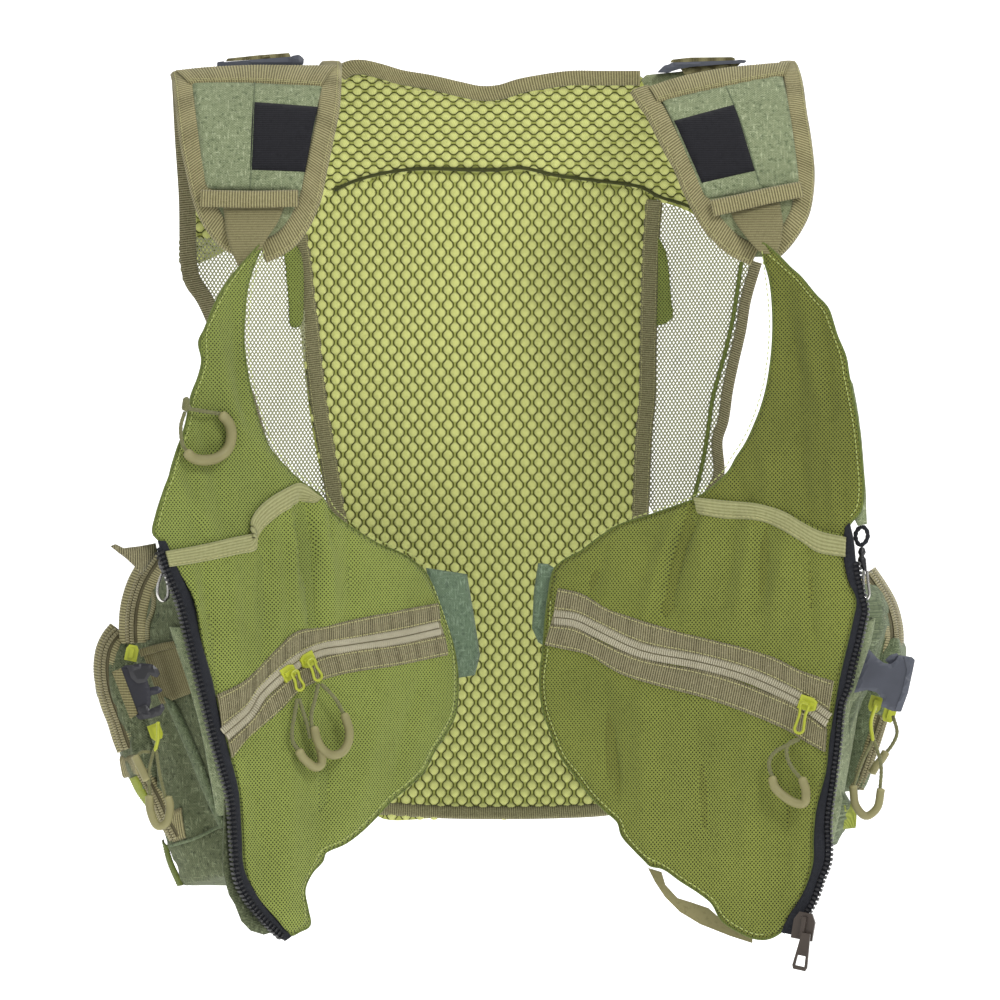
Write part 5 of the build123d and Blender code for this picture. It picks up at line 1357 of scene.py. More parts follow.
        zip_in=points("""
50.2,-159.9 49.2,-170 49.8,-178.3 52.2,-189.4 57.1,-200.5 55.5,-211.6 51.8,-228.3 48.1,-244.9
45.5,-261.6 42.9,-278.2 41.4,-294.8 38.7,-305.9 36,-317 34.6,-333.6 34.7,-344.7 32,-355.8
26.8,-366.9 21.3,-375.3 16.9,-384.9"""),
        zip_out=points("""
53,-157.7 55.3,-167.2 56.6,-178.3 57.8,-186.6 59.6,-197.7 61.3,-206 59.8,-214.3 58.2,-222.7
56,-231 53.9,-239.3 51.8,-250.4 48,-258.2 46.5,-278.2 44,-300.3 41.4,-322.4 41.7,-344.5
37.9,-355.6 34.1,-366.7 29.7,-375.1 24.3,-386.3"""),
        teeth=points("""
56.7,-179.4 57.9,-187.2 60.3,-197.7 62.1,-206 60.5,-214.4 58.9,-222.7 56.8,-231 54.6,-240.4
52.5,-250.4 49.8,-257.1 47.8,-278.1 45.3,-300.3 42.7,-322.4 43,-344.4 39.2,-355.5 35.4,-366.6
31,-374.5"""),
        teeth_side=1),
}
# Edges of the webbing from each pad to the strap tip: (x, y, z).
STRAP_EDGES = {
    "left": (points("""-150.6,-127,355.2 -149.9,-129,350.5 -148.4,-134,340 -145.8,-138,330.7
-141.1,-142,320.3""", 3),
             points("""-116.1,-127,355.2 -117.1,-129,351.7 -120.2,-134,344.5 -124.5,-138,337.5
-127.6,-141,331.6""", 3)),
    "right": (points("""136.6,-127,351.8 137.6,-129,348.3 142.9,-135,339.4 147.6,-139,332.9
152,-141,328.3""", 3),
              points("""164.3,-127,357.5 164.7,-129,353.4 165.5,-134,344.5 164,-138,335.2
161.6,-140,326.1""", 3)),
}
# Profiles across a tooth: distances out, heights, half widths.
COIL_PITCH, COIL_HEIGHT = 1.3, 1.15
COIL_PROFILE = (np.array([0.28, 0.58, 4.1 * 0.7, 4.1]),
                np.array([0.55, 1.0, 0.95, 0.15]) * COIL_HEIGHT,
                np.array([0.30, 0.46, 0.46, 0.36]) * COIL_PITCH)
TOOTH_PITCH = 2.55
TOOTH_OUT = np.array([-1.7, -1.1, 0.2, 1.1, 1.9, 2.4])
TOOTH_HEIGHT = np.array([0.9, 1.7, 1.9, 1.3, 1.9, 0.7])
TOOTH_HALF = np.array([0.7, 1.0, 0.95, 0.62, 1.08, 0.85])


def build_strap(side):
    """Webbing that bends from the back to the tip of a front."""
    obj = make("strap_web_" + side[0].upper(),
               strip(None, *STRAP_EDGES[side], rib=0.0, edge=0.4, dome=0.5, across=14),
               STRAP, body=None, thick=1.4,
               replaces=("shoulder_webbings",) if side == "left" else ())
    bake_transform(obj)


def build_panel(side, lines):
    """Lining, shell, rolled edge and mesh pocket."""
    upper, pocket, body = UPPER[side], POCKET[side], f"front_{side}"
    make(f"lining_{side}", sheet(upper, lines["panel"], 1.0, step=3.0), LINING[side],
         body, replaces=(f"front_panel_{side}",), thick=1.0)
    make(f"shell_{side}", sheet(upper, lines["panel"], -0.5, step=5), SHELL,
         body, thick=1.0)
    rim = upper.at(spline(lines["panel"], 2.0, True), 0.3)
    make(f"panel_edge_{side}", tube(rim, 0.9, step=1.6, seg=7, closed=True), PIPING,
         body)
    outline = spline(lines["pocket"], 2.2, True)
    flat, faces = fill(outline, 2.6)
    height = 2.2 + 0.9 * (1 - np.exp(-(edge_dist(outline, flat) / 5.0) ** 2))
    make(f"pocket_{side}", (pocket.at(flat, height), faces, flat), POCKET_MESH[side],
         body, replaces=(f"inner_pocket_{side}",), thick=0.6)
    for surface, line, h in ((pocket, "arm", 2.7), (upper, "neck", 1.6), (pocket, "side", 2.8)):
        stitch(surface, lines[line], h, pitch=3.0, length=2.0, radius=0.3, body=body)


def build_pocket_top(side, lines):
    """Elastic edge of the mesh pocket and the zip below it."""
    pocket, body = POCKET[side], f"front_{side}"

    def stitch_between(edge_a, edge_b, share, count, h, **size):
        line = resample(edge_a, count) * (1 - share) + resample(edge_b, count) * share
        stitch(pocket, line, h, body=body, suffix="_tape", **size)

    top, foot = lines["elastic_top"], lines["elastic_foot"]
    make(f"elastic_{side}",
         strip(pocket, top, foot, 3.9, step=1.1, across=20, rib=0.05, rib_pitch=2.2, ridges=6,
               edge=1.0, dome=0.3),
         ELASTIC, body, replaces=(f"elastic_trim_{side}",), thick=1.6)
    stitch_between(top, foot, 0.84, 30, 4.3, pitch=2.6, length=1.7, radius=0.24)

    tapes = ((lines["tape_top"], lines["coil_top"], (0.12, 0.86)),
             (lines["coil_foot"], lines["tape_foot"], (0.14, 0.88)))
    make(f"zip_tapes_{side}",
         join([strip(pocket, a, b, 4.0, rib=0.26, rib_pitch=1.7, edge=0.7, dome=0.35,
                     across=10, wave=0.5) for a, b, _ in tapes]),
         GROSGRAIN_INNER, body, replaces=(f"inner_zip_tapes_{side}",), thick=1.1)
    for a, b, shares in tapes:
        for share in shares:
            stitch_between(a, b, share, 40, 4.75, pitch=2.1, length=1.5, radius=0.3)
    make(f"coil_tape_{side}",
         strip(pocket, resample(lines["coil_top"], 40), resample(lines["coil_foot"], 40), 3.6,
               rib=0.05, rib_pitch=1.2, edge=0.1, dome=0.0),
         COIL_TAPE, body, thick=0.8)
    make(f"coil_{side}",
         teeth(pocket, lines["coil"], COIL_PROFILE, COIL_PITCH, sides=(1, -1), h=3.6),
         COIL_TAN, body, replaces=(f"inner_coil_{side}",))


def build_front_zip(side, lines):
    """Woven tape, cord and two layers of moulded teeth along the front edge."""
    surface, body = UPPER[side], f"front_{side}"
    make(f"zip_tape_{side}",
         strip(surface, lines["zip_in"], lines["zip_out"], 1.9, rib=0.05, rib_pitch=1.0,
               edge=0.9, dome=0.2, across=8),
         ZIP_TAPE, body, replaces=(f"front_zip_tape_{side}",), thick=2.6)
    cord = surface.at(spline(lines["teeth"], 1.5), 1.1)
    make(f"zip_cord_{side}", tube(cord, 1.35, braid=0.12), ZIP_TAPE, body)
    sides = (lines["teeth_side"],)
    upper = teeth(surface, lines["teeth"], (TOOTH_OUT, TOOTH_HEIGHT, TOOTH_HALF), TOOTH_PITCH,
                  sides, h=1.5)
    V, F, _ = teeth(surface, lines["teeth"], (TOOTH_OUT, -TOOTH_HEIGHT - 1.6, TOOTH_HALF),
                    TOOTH_PITCH, sides, h=1.3)
    make(f"zip_teeth_{side}", join([upper, (V, F[:, ::-1], None)]), BLACK,
         body, replaces=(f"front_teeth_{side}",), smooth=False)


for side in FRONTS:
    build_strap(side)
for side, lines in FRONTS.items():
    build_panel(side, lines)
    build_pocket_top(side, lines)
    make(f"side_tab_cloth_{side}", patch(PLAIN[side], [lines["tab"]], -3.9, rounding=0.6),
         HEATHER_SIDE, f"front_{side}", replaces=(f"side_tab_{side}",),
         thick=1.3)
    build_front_zip(side, lines)

# ------------------------------------------------------------------ cargo pockets
# Elevations (x, z). Seen outer edges of the pockets first.
edge_left = points("""
-199.8,157.8 -205.8,148.2 -214.2,136.8 -219,125.4 -222,115.8 -226.8,112.8 -232.2,105
-235.8,95.4 -237.6,85.2 -237,74.4 -234,64.8 -229.8,56.4 -225,43.8 -222.6,35.4 -222,28.2
-217.2,21 -212.4,13.2 -207.6,6.6 -205.2,-1.2 -201,-8.4 -198,-12.6 -196.2,-22.2 -190.8,-36.6
-186.6,-43.2 -183.6,-51 -177,-57.6 -170.4,-57.6""")
edge_right = points("""
225.6,148.2 232.8,141 239.4,131.4 244.8,118.8 249,109.2 250.2,102 249.6,93 246,75 241.2,61.8
236.4,49.2 232.2,36 229.8,24 224.4,12.6 219.6,5.4 214.8,-9 210.6,-15 206.4,-25.8 203.4,-39""")
seam_left = points("-192,-18.6 -177,-13.8 -162.6,-6.6")
seam_right = points("203.4,-7.8 207.6,-4.2 213.6,-1.8")
# creases: (line, depth, width, sign), sign -1 inwards and 1 outwards
creases_left = (
    (points("-196.2,61.8 -190.8,51 -184.8,37.8 -178.2,21 -171,4.2 -165.6,-6.6"), 3.2, 5.0, -1),
    (points("-200.4,141 -202.2,129 -204.6,114 -202.8,99"), 2.6, 4.0, -1),
    (seam_left, 1.6, 2.6, -1),
    (points("-204,69 -206.4,45 -202.8,21"), 2.0, 4.0, -1),
    (points("-184.2,105 -180,81 -174,51 -166.8,21"), 2.2, 7.0, 1),
)
creases_right = ((points("237,131.4 234,105 229.2,81 226.8,51"), 2.4, 4.5, -1),
                 (points("224.4,69 219.6,39 213.6,9"), 1.8, 3.0, -1))
# zip middle lines
cargo_zip_left = points("""
-199.2,155.4 -204.6,147.6 -209.4,139.2 -212.4,130.8 -214.2,122.4 -214.8,112.8 -214.5,103.2""")
cargo_zip_seam = points("""
-198,151.8 -201.6,144.6 -204,137.4 -202.2,130.2 -202.8,123 -205.8,114.6 -205.8,105""")
pouch_zip_left = points("""
-223.8,111.6 -228,106.8 -231.6,99.6 -233.1,88.2 -231.9,77.4 -228.6,65.4 -225,56.4 -221.4,45
-219,39""")
low_zip_left = points("-209.4,25.8 -204.6,17.4 -199.8,9 -194.4,-3 -188.4,-13.8")
cargo_zip_right = points("226.8,145.8 233.4,136.2 238.8,126.6 241.8,117 243,107.4 242.4,96")
low_zip_right = points("235.2,59.4 231,46.2 226.2,31.8 220.2,16.2")
# pairs of edges
gusset_edge = (points("-190.8,69 -184.8,57 -176.4,37.8 -168.6,17.4 -158.4,-6.6"),
               points("-196.2,70.8 -192,60 -181.8,36.6 -174,16.8 -162.6,-8.4"))
storm_left = (points("""-184.8,112.8 -180,96 -175.2,80.4 -169.8,64.8 -165.6,48.6 -160.2,28.2
-155.4,9 -153.6,0.6"""),
              points("""-193.2,112.8 -189,100.2 -184.8,88.2 -180.6,75 -176.4,60 -172.2,42
-168.6,21 -165,-0.6"""))
storm_right = (points("""226.2,115.8 222,100.2 217.8,84.6 213.6,69 210.6,48 207.6,24 205.2,1.8
203.4,-15"""),
               points("""231.6,118.2 229.2,105 225.6,91.8 223.2,75 220.2,54 216,30 211.2,6
206.4,-13.8"""))
waist_web = points("-208.8,98.4 -199.2,100.2 -188.4,102"), points(
    "-197.4,66 -188.4,69.6 -178.8,73.2")
waist_fold = points("-210.6,99.6 -200.4,102.6 -190.2,104.4"), points(
    "-209.4,94.8 -199.2,97.8 -188.4,100.2")
gusset_mesh = points("-212.4,23.4 -208.2,15 -203.4,5.4"), points("-217.2,21.6 -213,13.2 -207.6,6")
gusset_piping = points("-194.4,-18.6 -191.4,-28.2 -184.8,-42"), points(
    "-197.4,-15 -194.4,-28.2 -188.4,-42.6")
# four-cornered tabs
web_tab = points("-222.6,34.8 -214.2,36 -211.8,23.4 -220.2,21.6")
patch_tab = points("-193.2,1.8 -186,4.2 -183,-14.4 -190.8,-16.8")
lime_tab = points("213,5.4 220.2,7.2 219.6,-7.8 211.8,-9")
# cloth beside the front zips, in the panel's plane (across, up)
edge_cloth_right = points("""
51.1,-75.4 53.4,-79.9 56.4,-94.5 58.8,-111.3 60.2,-128 61.4,-140.3 62.2,-158.1 57.1,-159.2
55.4,-155.9 57,-147.5 58,-136.4 56.1,-119.6 53.7,-102.9 51.3,-88.9""")
edge_cloth_left = points("""
-29.7,-311.2 -27.4,-339 -24.8,-355.7 -18.9,-367.1 -10.4,-377.6 0.6,-387.1 -1.2,-385.9
-7.6,-387.2 -15.7,-384.5 -21.2,-379.1 -25.2,-369.5 -28.8,-363.8 -32.1,-349.8""")


def build_pocket_bodies():
    """The padded pockets, as [cargo pocket, pouch] for each side."""
    pairs = {}
    for side, plane in PLANES.items():
        hold = (plane["origin"], plane["out"], -7.0)
        pairs[side] = [
            soft(f"{name}_{side}", f"{node}_{side}", POCKET_CLOTH[side],
                 f"front_{side}", voxel=4.0, shrink=shrink, cap=2.0, relax=2, hold=hold)
            for name, node, shrink in (("cargo", "cargo_pocket", 1.2),
                                       ("pouch", "front_pouch", 1.0))]
    soft("rear_sleeve", "rear_pocket", POCKET_CLOTH["left"], "back",
         voxel=6.0, shrink=2.0, cap=4.0, relax=4, hold=((0, 5.0, 0), (0, -1.0, 0), 0.0))
    return pairs


def coil_zip(name, cast, line, width, half, body, across=8, replaces=()):
    """Coil zip on a pocket: woven tape, a dark strip of painted shadow under the coil and two
    rows of loops on one bent strip.
    """
    a, b = (spline(cast.run(offset(line, aside)), 0.5) for aside in (width / 2, -width / 2))
    m = max(len(a), len(b))
    a, b = even(a, n=m), even(b, n=m)

    def at(share):
        return a * (1 - share) + b * share

    make(f"{name}_tape", strip(None, a, b, 0.3, rib=0.14, rib_pitch=1.5, edge=1.2,
                               across=across),
         GROSGRAIN, body, replaces, thick=1.1)
    # dark strip under the loops: painted shadow of the coil
    gap = (half + 1.0) / width
    make(f"{name}_slot_shadow", strip(None, at(0.5 - gap), at(0.5 + gap), 1.1, rib=0.0, edge=0.2,
                               across=4),
         COIL_SHADOW, body, thick=0.5)

    pitch, loop_height = 1.5, 1.4
    middle = at(0.5)
    length = np.linalg.norm(np.diff(middle, axis=0), axis=1).sum()
    n = int(length / (pitch / 4)) // 4 * 4 + 1  # four steps to a loop
    middle, edge_a, edge_b = (even(at(share), n=n)
                              for share in (0.5, 0.5 - half / width, 0.5 + half / width))
    along = unit_rows(np.gradient(middle, axis=0))
    normal = unit_rows(np.cross(along, edge_a - edge_b))
    normal[normal[:, 1] > 0] *= -1
    V, F, start = [], [], 0
    for edge, first in ((edge_a, 0), (edge_b, 2)):
        out = edge - middle
        flip = (np.cross(out[n // 2], along[n // 2]) @ normal[n // 2]) < 0
        for i in range(first, n - 4, 4):
            for share, height in ((0.09, 0.4), (0.3, 1.0), (0.75, 0.95), (1.0, 0.2)):
                for k, raised in ((i, 0.0), (i + 1, 1.0), (i + 3, 1.0), (i + 4, 0.0)):
                    rise = 1.55 + loop_height * height * raised
                    V.append(middle[k] + out[k] * share + normal[k] * rise)
            quads = grid_faces(4, 4) + start
            F.append(quads[:, ::-1] if flip else quads)
            start += 16
    make(f"{name}_coil", (np.array(V), np.vstack(F), None), COIL_POCKET, body)


def build_left_trim(cast):
    body = "front_left"
    coil_zip("pocket_zip_left", cast, cargo_zip_left, 17.5, 2.4, body, across=12,
             replaces=("pocket_coils_left",))
    make("pocket_zip_seam_left", cast.ribbon(cargo_zip_seam, 2.6, lift=1.5, rib=0.1),
         BINDING, body, thick=1.0)
    coil_zip("pouch_zip_left", cast, offset(pouch_zip_left, 1.4), 14.0, 2.3, body)
    coil_zip("low_zip_left", cast, low_zip_left, 10.5, 2.0, body)
    # cloth turned over beside the zip: it stands proud of the gusset
    make("gusset_edge_left",
         cast.strip(*gusset_edge, lift=3.4, rib=0.0, edge=1.6, across=8, dome=0.8),
         POCKET_CLOTH["right"], body, thick=1.6)
    make("storm_left",
         cast.strip(*storm_left, lift=5.4, rib=0.0, edge=1.4, across=8, dome=1.0),
         HEATHER, body, replaces=("storm_flap_left",), thick=1.8)
    make("waist_web_left",
         cast.strip(*waist_web, lift=4.4, rib=0.2, rib_pitch=1.7, across=16, edge=0.6),
         WEBBING, body, replaces=("waist_webbing_left",), thick=1.5)
    make("waist_web_left_fold",
         cast.strip(*waist_fold, lift=6.2, rib=0.2, rib_pitch=1.7, across=8, edge=0.6),
         WEBBING, body, thick=1.4)
    make("gusset_mesh_left",
         cast.strip(*gusset_mesh, lift=0.8, rib=0.25, rib_pitch=1.6, across=6, edge=0.8),
         LIME_CLOTH, body, thick=1.0)
    make("gusset_piping_left",
         cast.strip(*gusset_piping, lift=1.0, rib=0.2, rib_pitch=1.4, across=5, edge=0.8),
         PIPING, body, thick=1.0)
    make("web_tab_left", cast.quad(web_tab, lift=2.2, rib=0.2, across=8, edge=1.0),
         GROSGRAIN, body, thick=1.4)
    make("patch_tab_left", cast.quad(patch_tab, lift=1.6, rib=0.2, across=8, edge=0.8),
         GROSGRAIN, body, thick=1.0)
    make("pocket_seam_left_a",
         cast.ribbon(seam_left, 2.0, lift=1.2, rib=0.25, rib_pitch=1.8),
         HEATHER_TAB, body, thick=1.0)


def build_right_trim(cast):
    body = "front_right"
    coil_zip("pocket_zip_right", cast, cargo_zip_right, 12.5, 2.2, body,
             replaces=("pocket_coils_right",))
    coil_zip("low_zip_right", cast, low_zip_right, 9.5, 2.0, body)
    make("storm_right",
         cast.strip(*storm_right, lift=3.4, rib=0.0, edge=1.4, across=10, dome=1.0),
         HEATHER, body, replaces=("storm_flap_right",), thick=1.8)
    make("lime_tab_right", cast.quad(lime_tab, lift=2.0, rib=0.1, rib_pitch=1.1),
         LIME_CLOTH, body, thick=1.0)
    make("pocket_seam_right_a",
         cast.ribbon(seam_right, 1.8, lift=1.0, rib=0.25, rib_pitch=1.8),
         HEATHER_TAB, body, thick=1.0)


pocket_pairs = build_pocket_bodies()
for side, creases in (("left", creases_left), ("right", creases_right)):
    for line, depth, width, sign in creases:
        crease(pocket_pairs[side][0], line, depth, width, sign)
tuck(pocket_pairs["left"][0], right_of=-112.0, below=-14.0)
left_cast = Cast(fit_side(pocket_pairs["left"], edge_left, -1.0))
right_cast = Cast(fit_side(pocket_pairs["right"], edge_right, 1.0))
build_left_trim(left_cast)
build_right_trim(right_cast)
make("front_edge_cloth_right", patch(PLAIN["right"], [edge_cloth_right], -0.6, rounding=0.4),
     HEATHER, "front_right", thick=0.8)
make("front_edge_cloth_left", patch(PLAIN["left"], [edge_cloth_left], -6.0, rounding=0.8),
     POCKET_CLOTH["left"], "front_left", thick=1.2)

# ------------------------------------------------------------------ slides and buckles
# Seen outlines (x, z); each slab is (outline, near y, far y).
slide_bars = {
    "left": points("""-163.8,449.4 -163.2,451.5 -141,453.3 -118.2,455.1 -114,456 -111.6,453.6
-112.2,450.3 -115.8,449.4 -141,448.8"""),
    "right": points("""100.8,445.8 103.2,448.2 109.2,451.5 126,452.1 151.8,453 153.9,452.7
153,451.2 138,450.3 120,448.8 114,447.6 106.8,445.5""")}
# left end, then right end
slide_ends = {
    "left": (points("-163.8,448.8 -163.8,451.8 -159.6,452.4 -158.4,448.8"),
             points("""-119.4,448.8 -119.4,455.4 -114.6,456.3 -111.6,453.9 -111.9,450.3
-115.2,448.8""")),
    "right": (points("100.2,445.5 104.4,449.7 110.4,451.2 113.4,447.9 106.8,445.2"),
              points("145.2,450.6 145.8,452.7 150.6,453.3 154.2,452.7 153,451.2"))}
slide_webs = {
    "left": points("""-158.4,452.1 -157.8,453.9 -139.2,455.9 -120.6,457.3 -119.4,454.9
-139.2,453.4"""),
    "right": points("""108,451.5 109.2,453.3 120,454.5 145.2,454.8 147.3,453.9 147,452.7
126,451.8""")}
web_under_right = points("""
114,448.2 120,449.7 139.2,451.3 151.2,451.9 148.8,449.4 128.4,445.2 117.6,442.8""")
pad_top_right = points("""
90.6,441 93.6,444 102,444.9 111.6,445.8 116.4,446.4 127.2,446.4 133.2,445.2 102,433.2
94.8,433.8""")
pad_ends = (points("-145.2,346.2 -127.2,346.2 -130.8,338.4 -141.6,338.4"),
            points("151.2,345 169.2,343.8 166.8,334.8 157.2,334.8"))
socket_arms = (
    (points("""-217.2,88.2 -209.4,91.2 -202.8,90.6 -199.2,87.6 -198,84.6 -199.8,82.2 -204,84
-206.4,79.8 -211.2,78.6 -215.4,82.2"""), -177.5, -166.0),
    (points("""-211.8,64.2 -207,66.6 -204,63.6 -199.8,65.4 -196.2,67.2 -195,64.2 -197.4,60
-202.8,58.2 -210,57"""), -177.5, -166.0),
    (points("-218.4,89.4 -209.4,91.2 -208.8,88.2 -216,85.8"), -178.5, -175.0),
    (points("-212.4,59.4 -204.6,62.4 -202.8,59.4 -210,57"), -178.5, -175.0))
socket_body = (
    (points("""-223.8,87 -218.4,90 -210.6,89.4 -206.4,83.4 -204,76.2 -203.4,67.8 -205.8,59.4
-211.2,57.6 -215.4,64.2 -218.4,72.6"""), -175.5, -163.0),
    (points("""-210,75 -202.8,76.8 -199.2,77.4 -196.2,75 -198,73.2 -202.2,72
-208.8,69.6"""), -174.0, -168.0))
socket_strap = points("-226.8,85.8 -221.4,88.2 -211.2,60.6 -216,57.6")
# fork, raised rim at its right end, notch piece
plug_body = (
    (points("""227.4,99.6 232.2,94.2 236.4,91.2 240.6,90.6 243.6,93 245.4,96 253.2,94.8 255,93
253.8,87 250.8,73.2 246.6,61.8 241.2,62.4 234.6,65.4 235.8,69.6 231.6,73.8 226.2,75 218.4,73.2
220.8,80.4"""), -165.5, -156.5),
    (points("""248.4,95.4 253.2,94.8 255,93 253.8,87 250.8,73.2 246.6,61.8 243,62.4 247.2,73.8
250.2,87"""), -167.0, -164.5),
    (points("237,93 240,96 244.2,97.2 245.4,96 243.6,92.4 240,90"), -162.0, -154.5))


def slabs(pieces):
    return join([slab(*piece) for piece in pieces])


def web_slab(outline, near, far):
    """Slab of webbing whose weave runs fore and aft."""
    V, F, _ = slab(outline, near, far)
    return V, F, np.c_[V[:, 1] + V[:, 0] * 0.15, V[:, 0]]


def build_slides():
    """Slides on the shoulders, with the webbing folded back over each."""
    for side, bar in slide_bars.items():
        left_end, right_end = slide_ends[side]
        make(f"slide_{side}",
             slabs([(bar, -74.0, -71.0), (bar, -58.0, -54.5), (left_end, -73.0, -55.0),
                    (right_end, -74.5, -54.0)]),
             SLATE, f"ladder_lock_{side}",
             replaces=(f"ladder_lock_{side}",), smooth=False)
        make(f"shoulder_web_{side}", web_slab(slide_webs[side], -73.5, -45.0), WEBBING,
             smooth=False)
    # pad cloth above the right cross tape, and the webbing beside it
    make("pad_top_right", slab(pad_top_right, -66.0, -50.0), PAD_CLOTH)
    make("shoulder_web_under_right", web_slab(web_under_right, -70.0, -48.0), WEBBING,
         smooth=False)
    # cloth under the lower ends of the pads
    make("pad_ends", slabs([(outline, -126.0, -122.0) for outline in pad_ends]), PAD_CLOTH)


def build_buckle():
    """Socket half on the left with its strap end, plug half on the right."""
    make("buckle_socket_arms", slabs(socket_arms), BLACK, "buckle_socket",
         smooth=False)
    make("buckle_socket_body", slabs(socket_body), SLATE_DARK,
         "buckle_socket", replaces=("buckle_socket",), smooth=False)
    V, F, _ = slab(socket_strap, -177.0, -173.0)
    make("buckle_socket_strap", (V, F, np.c_[V[:, 2], V[:, 0]]), WEBBING,
         "buckle_socket", smooth=False)
    make("buckle_plug_body", slabs(plug_body), SLATE, "buckle_plug",
         replaces=("buckle_plug",), smooth=False)


def finish_node(node, material, width, segments):
    """Material and rounded edges for a piece whose CAD shape is kept."""
    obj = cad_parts[node]
    obj.data.materials.clear()
    obj.data.materials.append(material)
    bevel = obj.modifiers.new("bevel", "BEVEL")
    bevel.width = width / 1000
    bevel.segments = segments
    bevel.limit_method = "ANGLE"
    bevel.angle_limit = math.radians(40)
    bevel.use_clamp_overlap = True


build_slides()
build_buckle()
for node in ("inner_slider_left_a", "inner_slider_left_b", "inner_slider_right",
             "pocket_slider_left_a", "pocket_slider_left_b", "pocket_slider_right_a",
             "pocket_slider_right_b"):
    finish_node(node, LIME, width=0.5, segments=3)
finish_node("main_slider", BROWN, width=0.6, segments=3)
finish_node("main_pull", BROWN, width=0.4, segments=3)
finish_node("net_ring", STEEL, width=0.5, segments=3)
finish_node("net_ring_tab", WEBBING, width=0.5, segments=2)
finish_node("hem_loop", WEBBING, width=0.3, segments=2)


# ------------------------------------------------------------------ cord pulls
def lime_loop(ends):
    """Outline of a slider tab: narrow at the first end, rounded at the second."""
    start, end = ends
    length = np.linalg.norm(end - start)
    along = (end - start) / length
    aside = np.array([-along[1], along[0]])
    angles = [np.pi * k / 16 for k in range(17)]
    cap = [end - along * 2.4 + along * 2.4 * math.sin(t) + aside * 2.5 * math.cos(t)
           for t in angles]
    waist = start + along * length * 0.4
    return [start + aside * 1.9, waist + aside * 1.7] + cap + [
        waist - aside * 1.7, start - aside * 1.9]


def panel_pull(name, body, surface, cords, grip, cord_h, grip_h, tab=None, grip_radius=2.55):
    """Cord legs, moulded U grip and slider tab, at heights off a front panel's plane."""
    make(f"{name}_cord",
         join([tube(surface.at(spline(cord, 1.5), cord_h), 1.05, step=0.8, braid=0.10)
               for cord in cords]),
         CORD, body, replaces=(body,))
    taper = ([0, 0.03, 0.08, 0.92, 0.97, 1], [0.82, 1.0, 1.0, 1.0, 1.0, 0.82])
    make(f"{name}_grip",
         tube(surface.at(spline(grip, 1.5), grip_h), grip_radius, step=0.9, seg=12,
              taper=taper), GRIP, body)
    if tab is not None:
        make(f"{name}_tab",
             tube(surface.at(lime_loop(tab), cord_h + 0.4), 0.85, step=0.7, closed=True),
             LIME, body)


def pocket_pull(name, body, cords, grip, depth, tab=None, replaces=()):
    """Pull on an outer pocket, from elevations (x, z) at one depth y."""
    def hang(path):
        return at_depth(spline(path, 1.5), depth)

    make(f"{name}_cord", join([tube(hang(cord), 1.0, step=0.8, braid=0.1) for cord in cords]),
         CORD, body, replaces)
    make(f"{name}_grip", tube(hang(grip), 2.3, step=0.9, seg=12), GRIP, body)
    if tab is not None:
        make(f"{name}_tab", tube(hang(tab), 1.1, step=0.7), LIME, body)


# In the panel's plane (across, up).
panel_pull("pull_left_a", "inner_pull_left_a", PLAIN["left"],
           cords=[points("9,-256.6 7.5,-263.8 5.3,-273.7 5.7,-280.4 10,-286.1"),
                  points("10.3,-256.6 13.2,-265.6 15.5,-272.9 16.6,-278.6")],
           grip=points("""8.8,-285 11.2,-289 14.9,-292.4 18.7,-294.8 22.6,-293.9 23.4,-288.9
21.7,-282.6"""),
           cord_h=9.2, grip_h=9.6, tab=points("7.6,-241.5 11.7,-251.6"))
panel_pull("pull_left_b", "inner_pull_left_b", PLAIN["left"],
           cords=[points("22.1,-248.6 20,-256.3 17.1,-265.7 17.5,-273 19.2,-278.7"),
                  points("24.1,-248.6 30.3,-254.4 35.2,-260.7 37.6,-265.8")],
           grip=points("""18.2,-272.5 19.9,-279.8 23.6,-285.5 29.2,-288.5 35.7,-287.1
39.8,-281.6 40.6,-274.9 37.7,-265.8"""),
           cord_h=10.4, grip_h=11.2, tab=points("17.4,-235 22.8,-246.3"))
panel_pull("pull_right", "inner_pull_right", PLAIN["right"],
           cords=[points("27.7,-278 21,-281.4 13.7,-285.9 11,-291 11.6,-295.9 13.3,-299.8"),
                  points("26.7,-278 21.7,-280.8 20.6,-285.3 23,-292.4 28.1,-298.9 29.8,-300.5")],
           grip=points("""12.8,-299.2 14.5,-304.7 19.6,-309.6 26.4,-313.3 30.9,-313.2
31.9,-307.1 29.6,-299.4"""),
           cord_h=10.6, grip_h=11.0, tab=points("30.8,-258.6 27.1,-274.7"))
panel_pull("chest_loop", "chest_pull_left", PLAIN["left"],
           cords=[points("-53.9,-94.2 -42.8,-95.7 -31,-97.2"),
                  points("-53.9,-96.4 -56.6,-104.2 -56.3,-111.9 -55.1,-115.8 -52.8,-118.5")],
           grip=points("""-31.5,-97.3 -26.7,-102.8 -25.6,-109.5 -28.3,-116.8 -35.4,-121.8
-44.1,-123 -49.7,-121.9 -53.9,-118.6"""),
           cord_h=4.6, grip_h=5.2, grip_radius=3.0)
chest_knot = points("-52.6,-88.6 -53.3,-91.9 -52.8,-95.8")
make("chest_loop_knot",
     tube(PLAIN["left"].at(spline(chest_knot, 1.0), 5.0), 2.6, step=0.6, braid=0.16,
          taper=([0, 0.15, 0.5, 0.85, 1], [0.5, 0.95, 0.75, 0.95, 0.5])),
     CORD, "chest_pull_left")

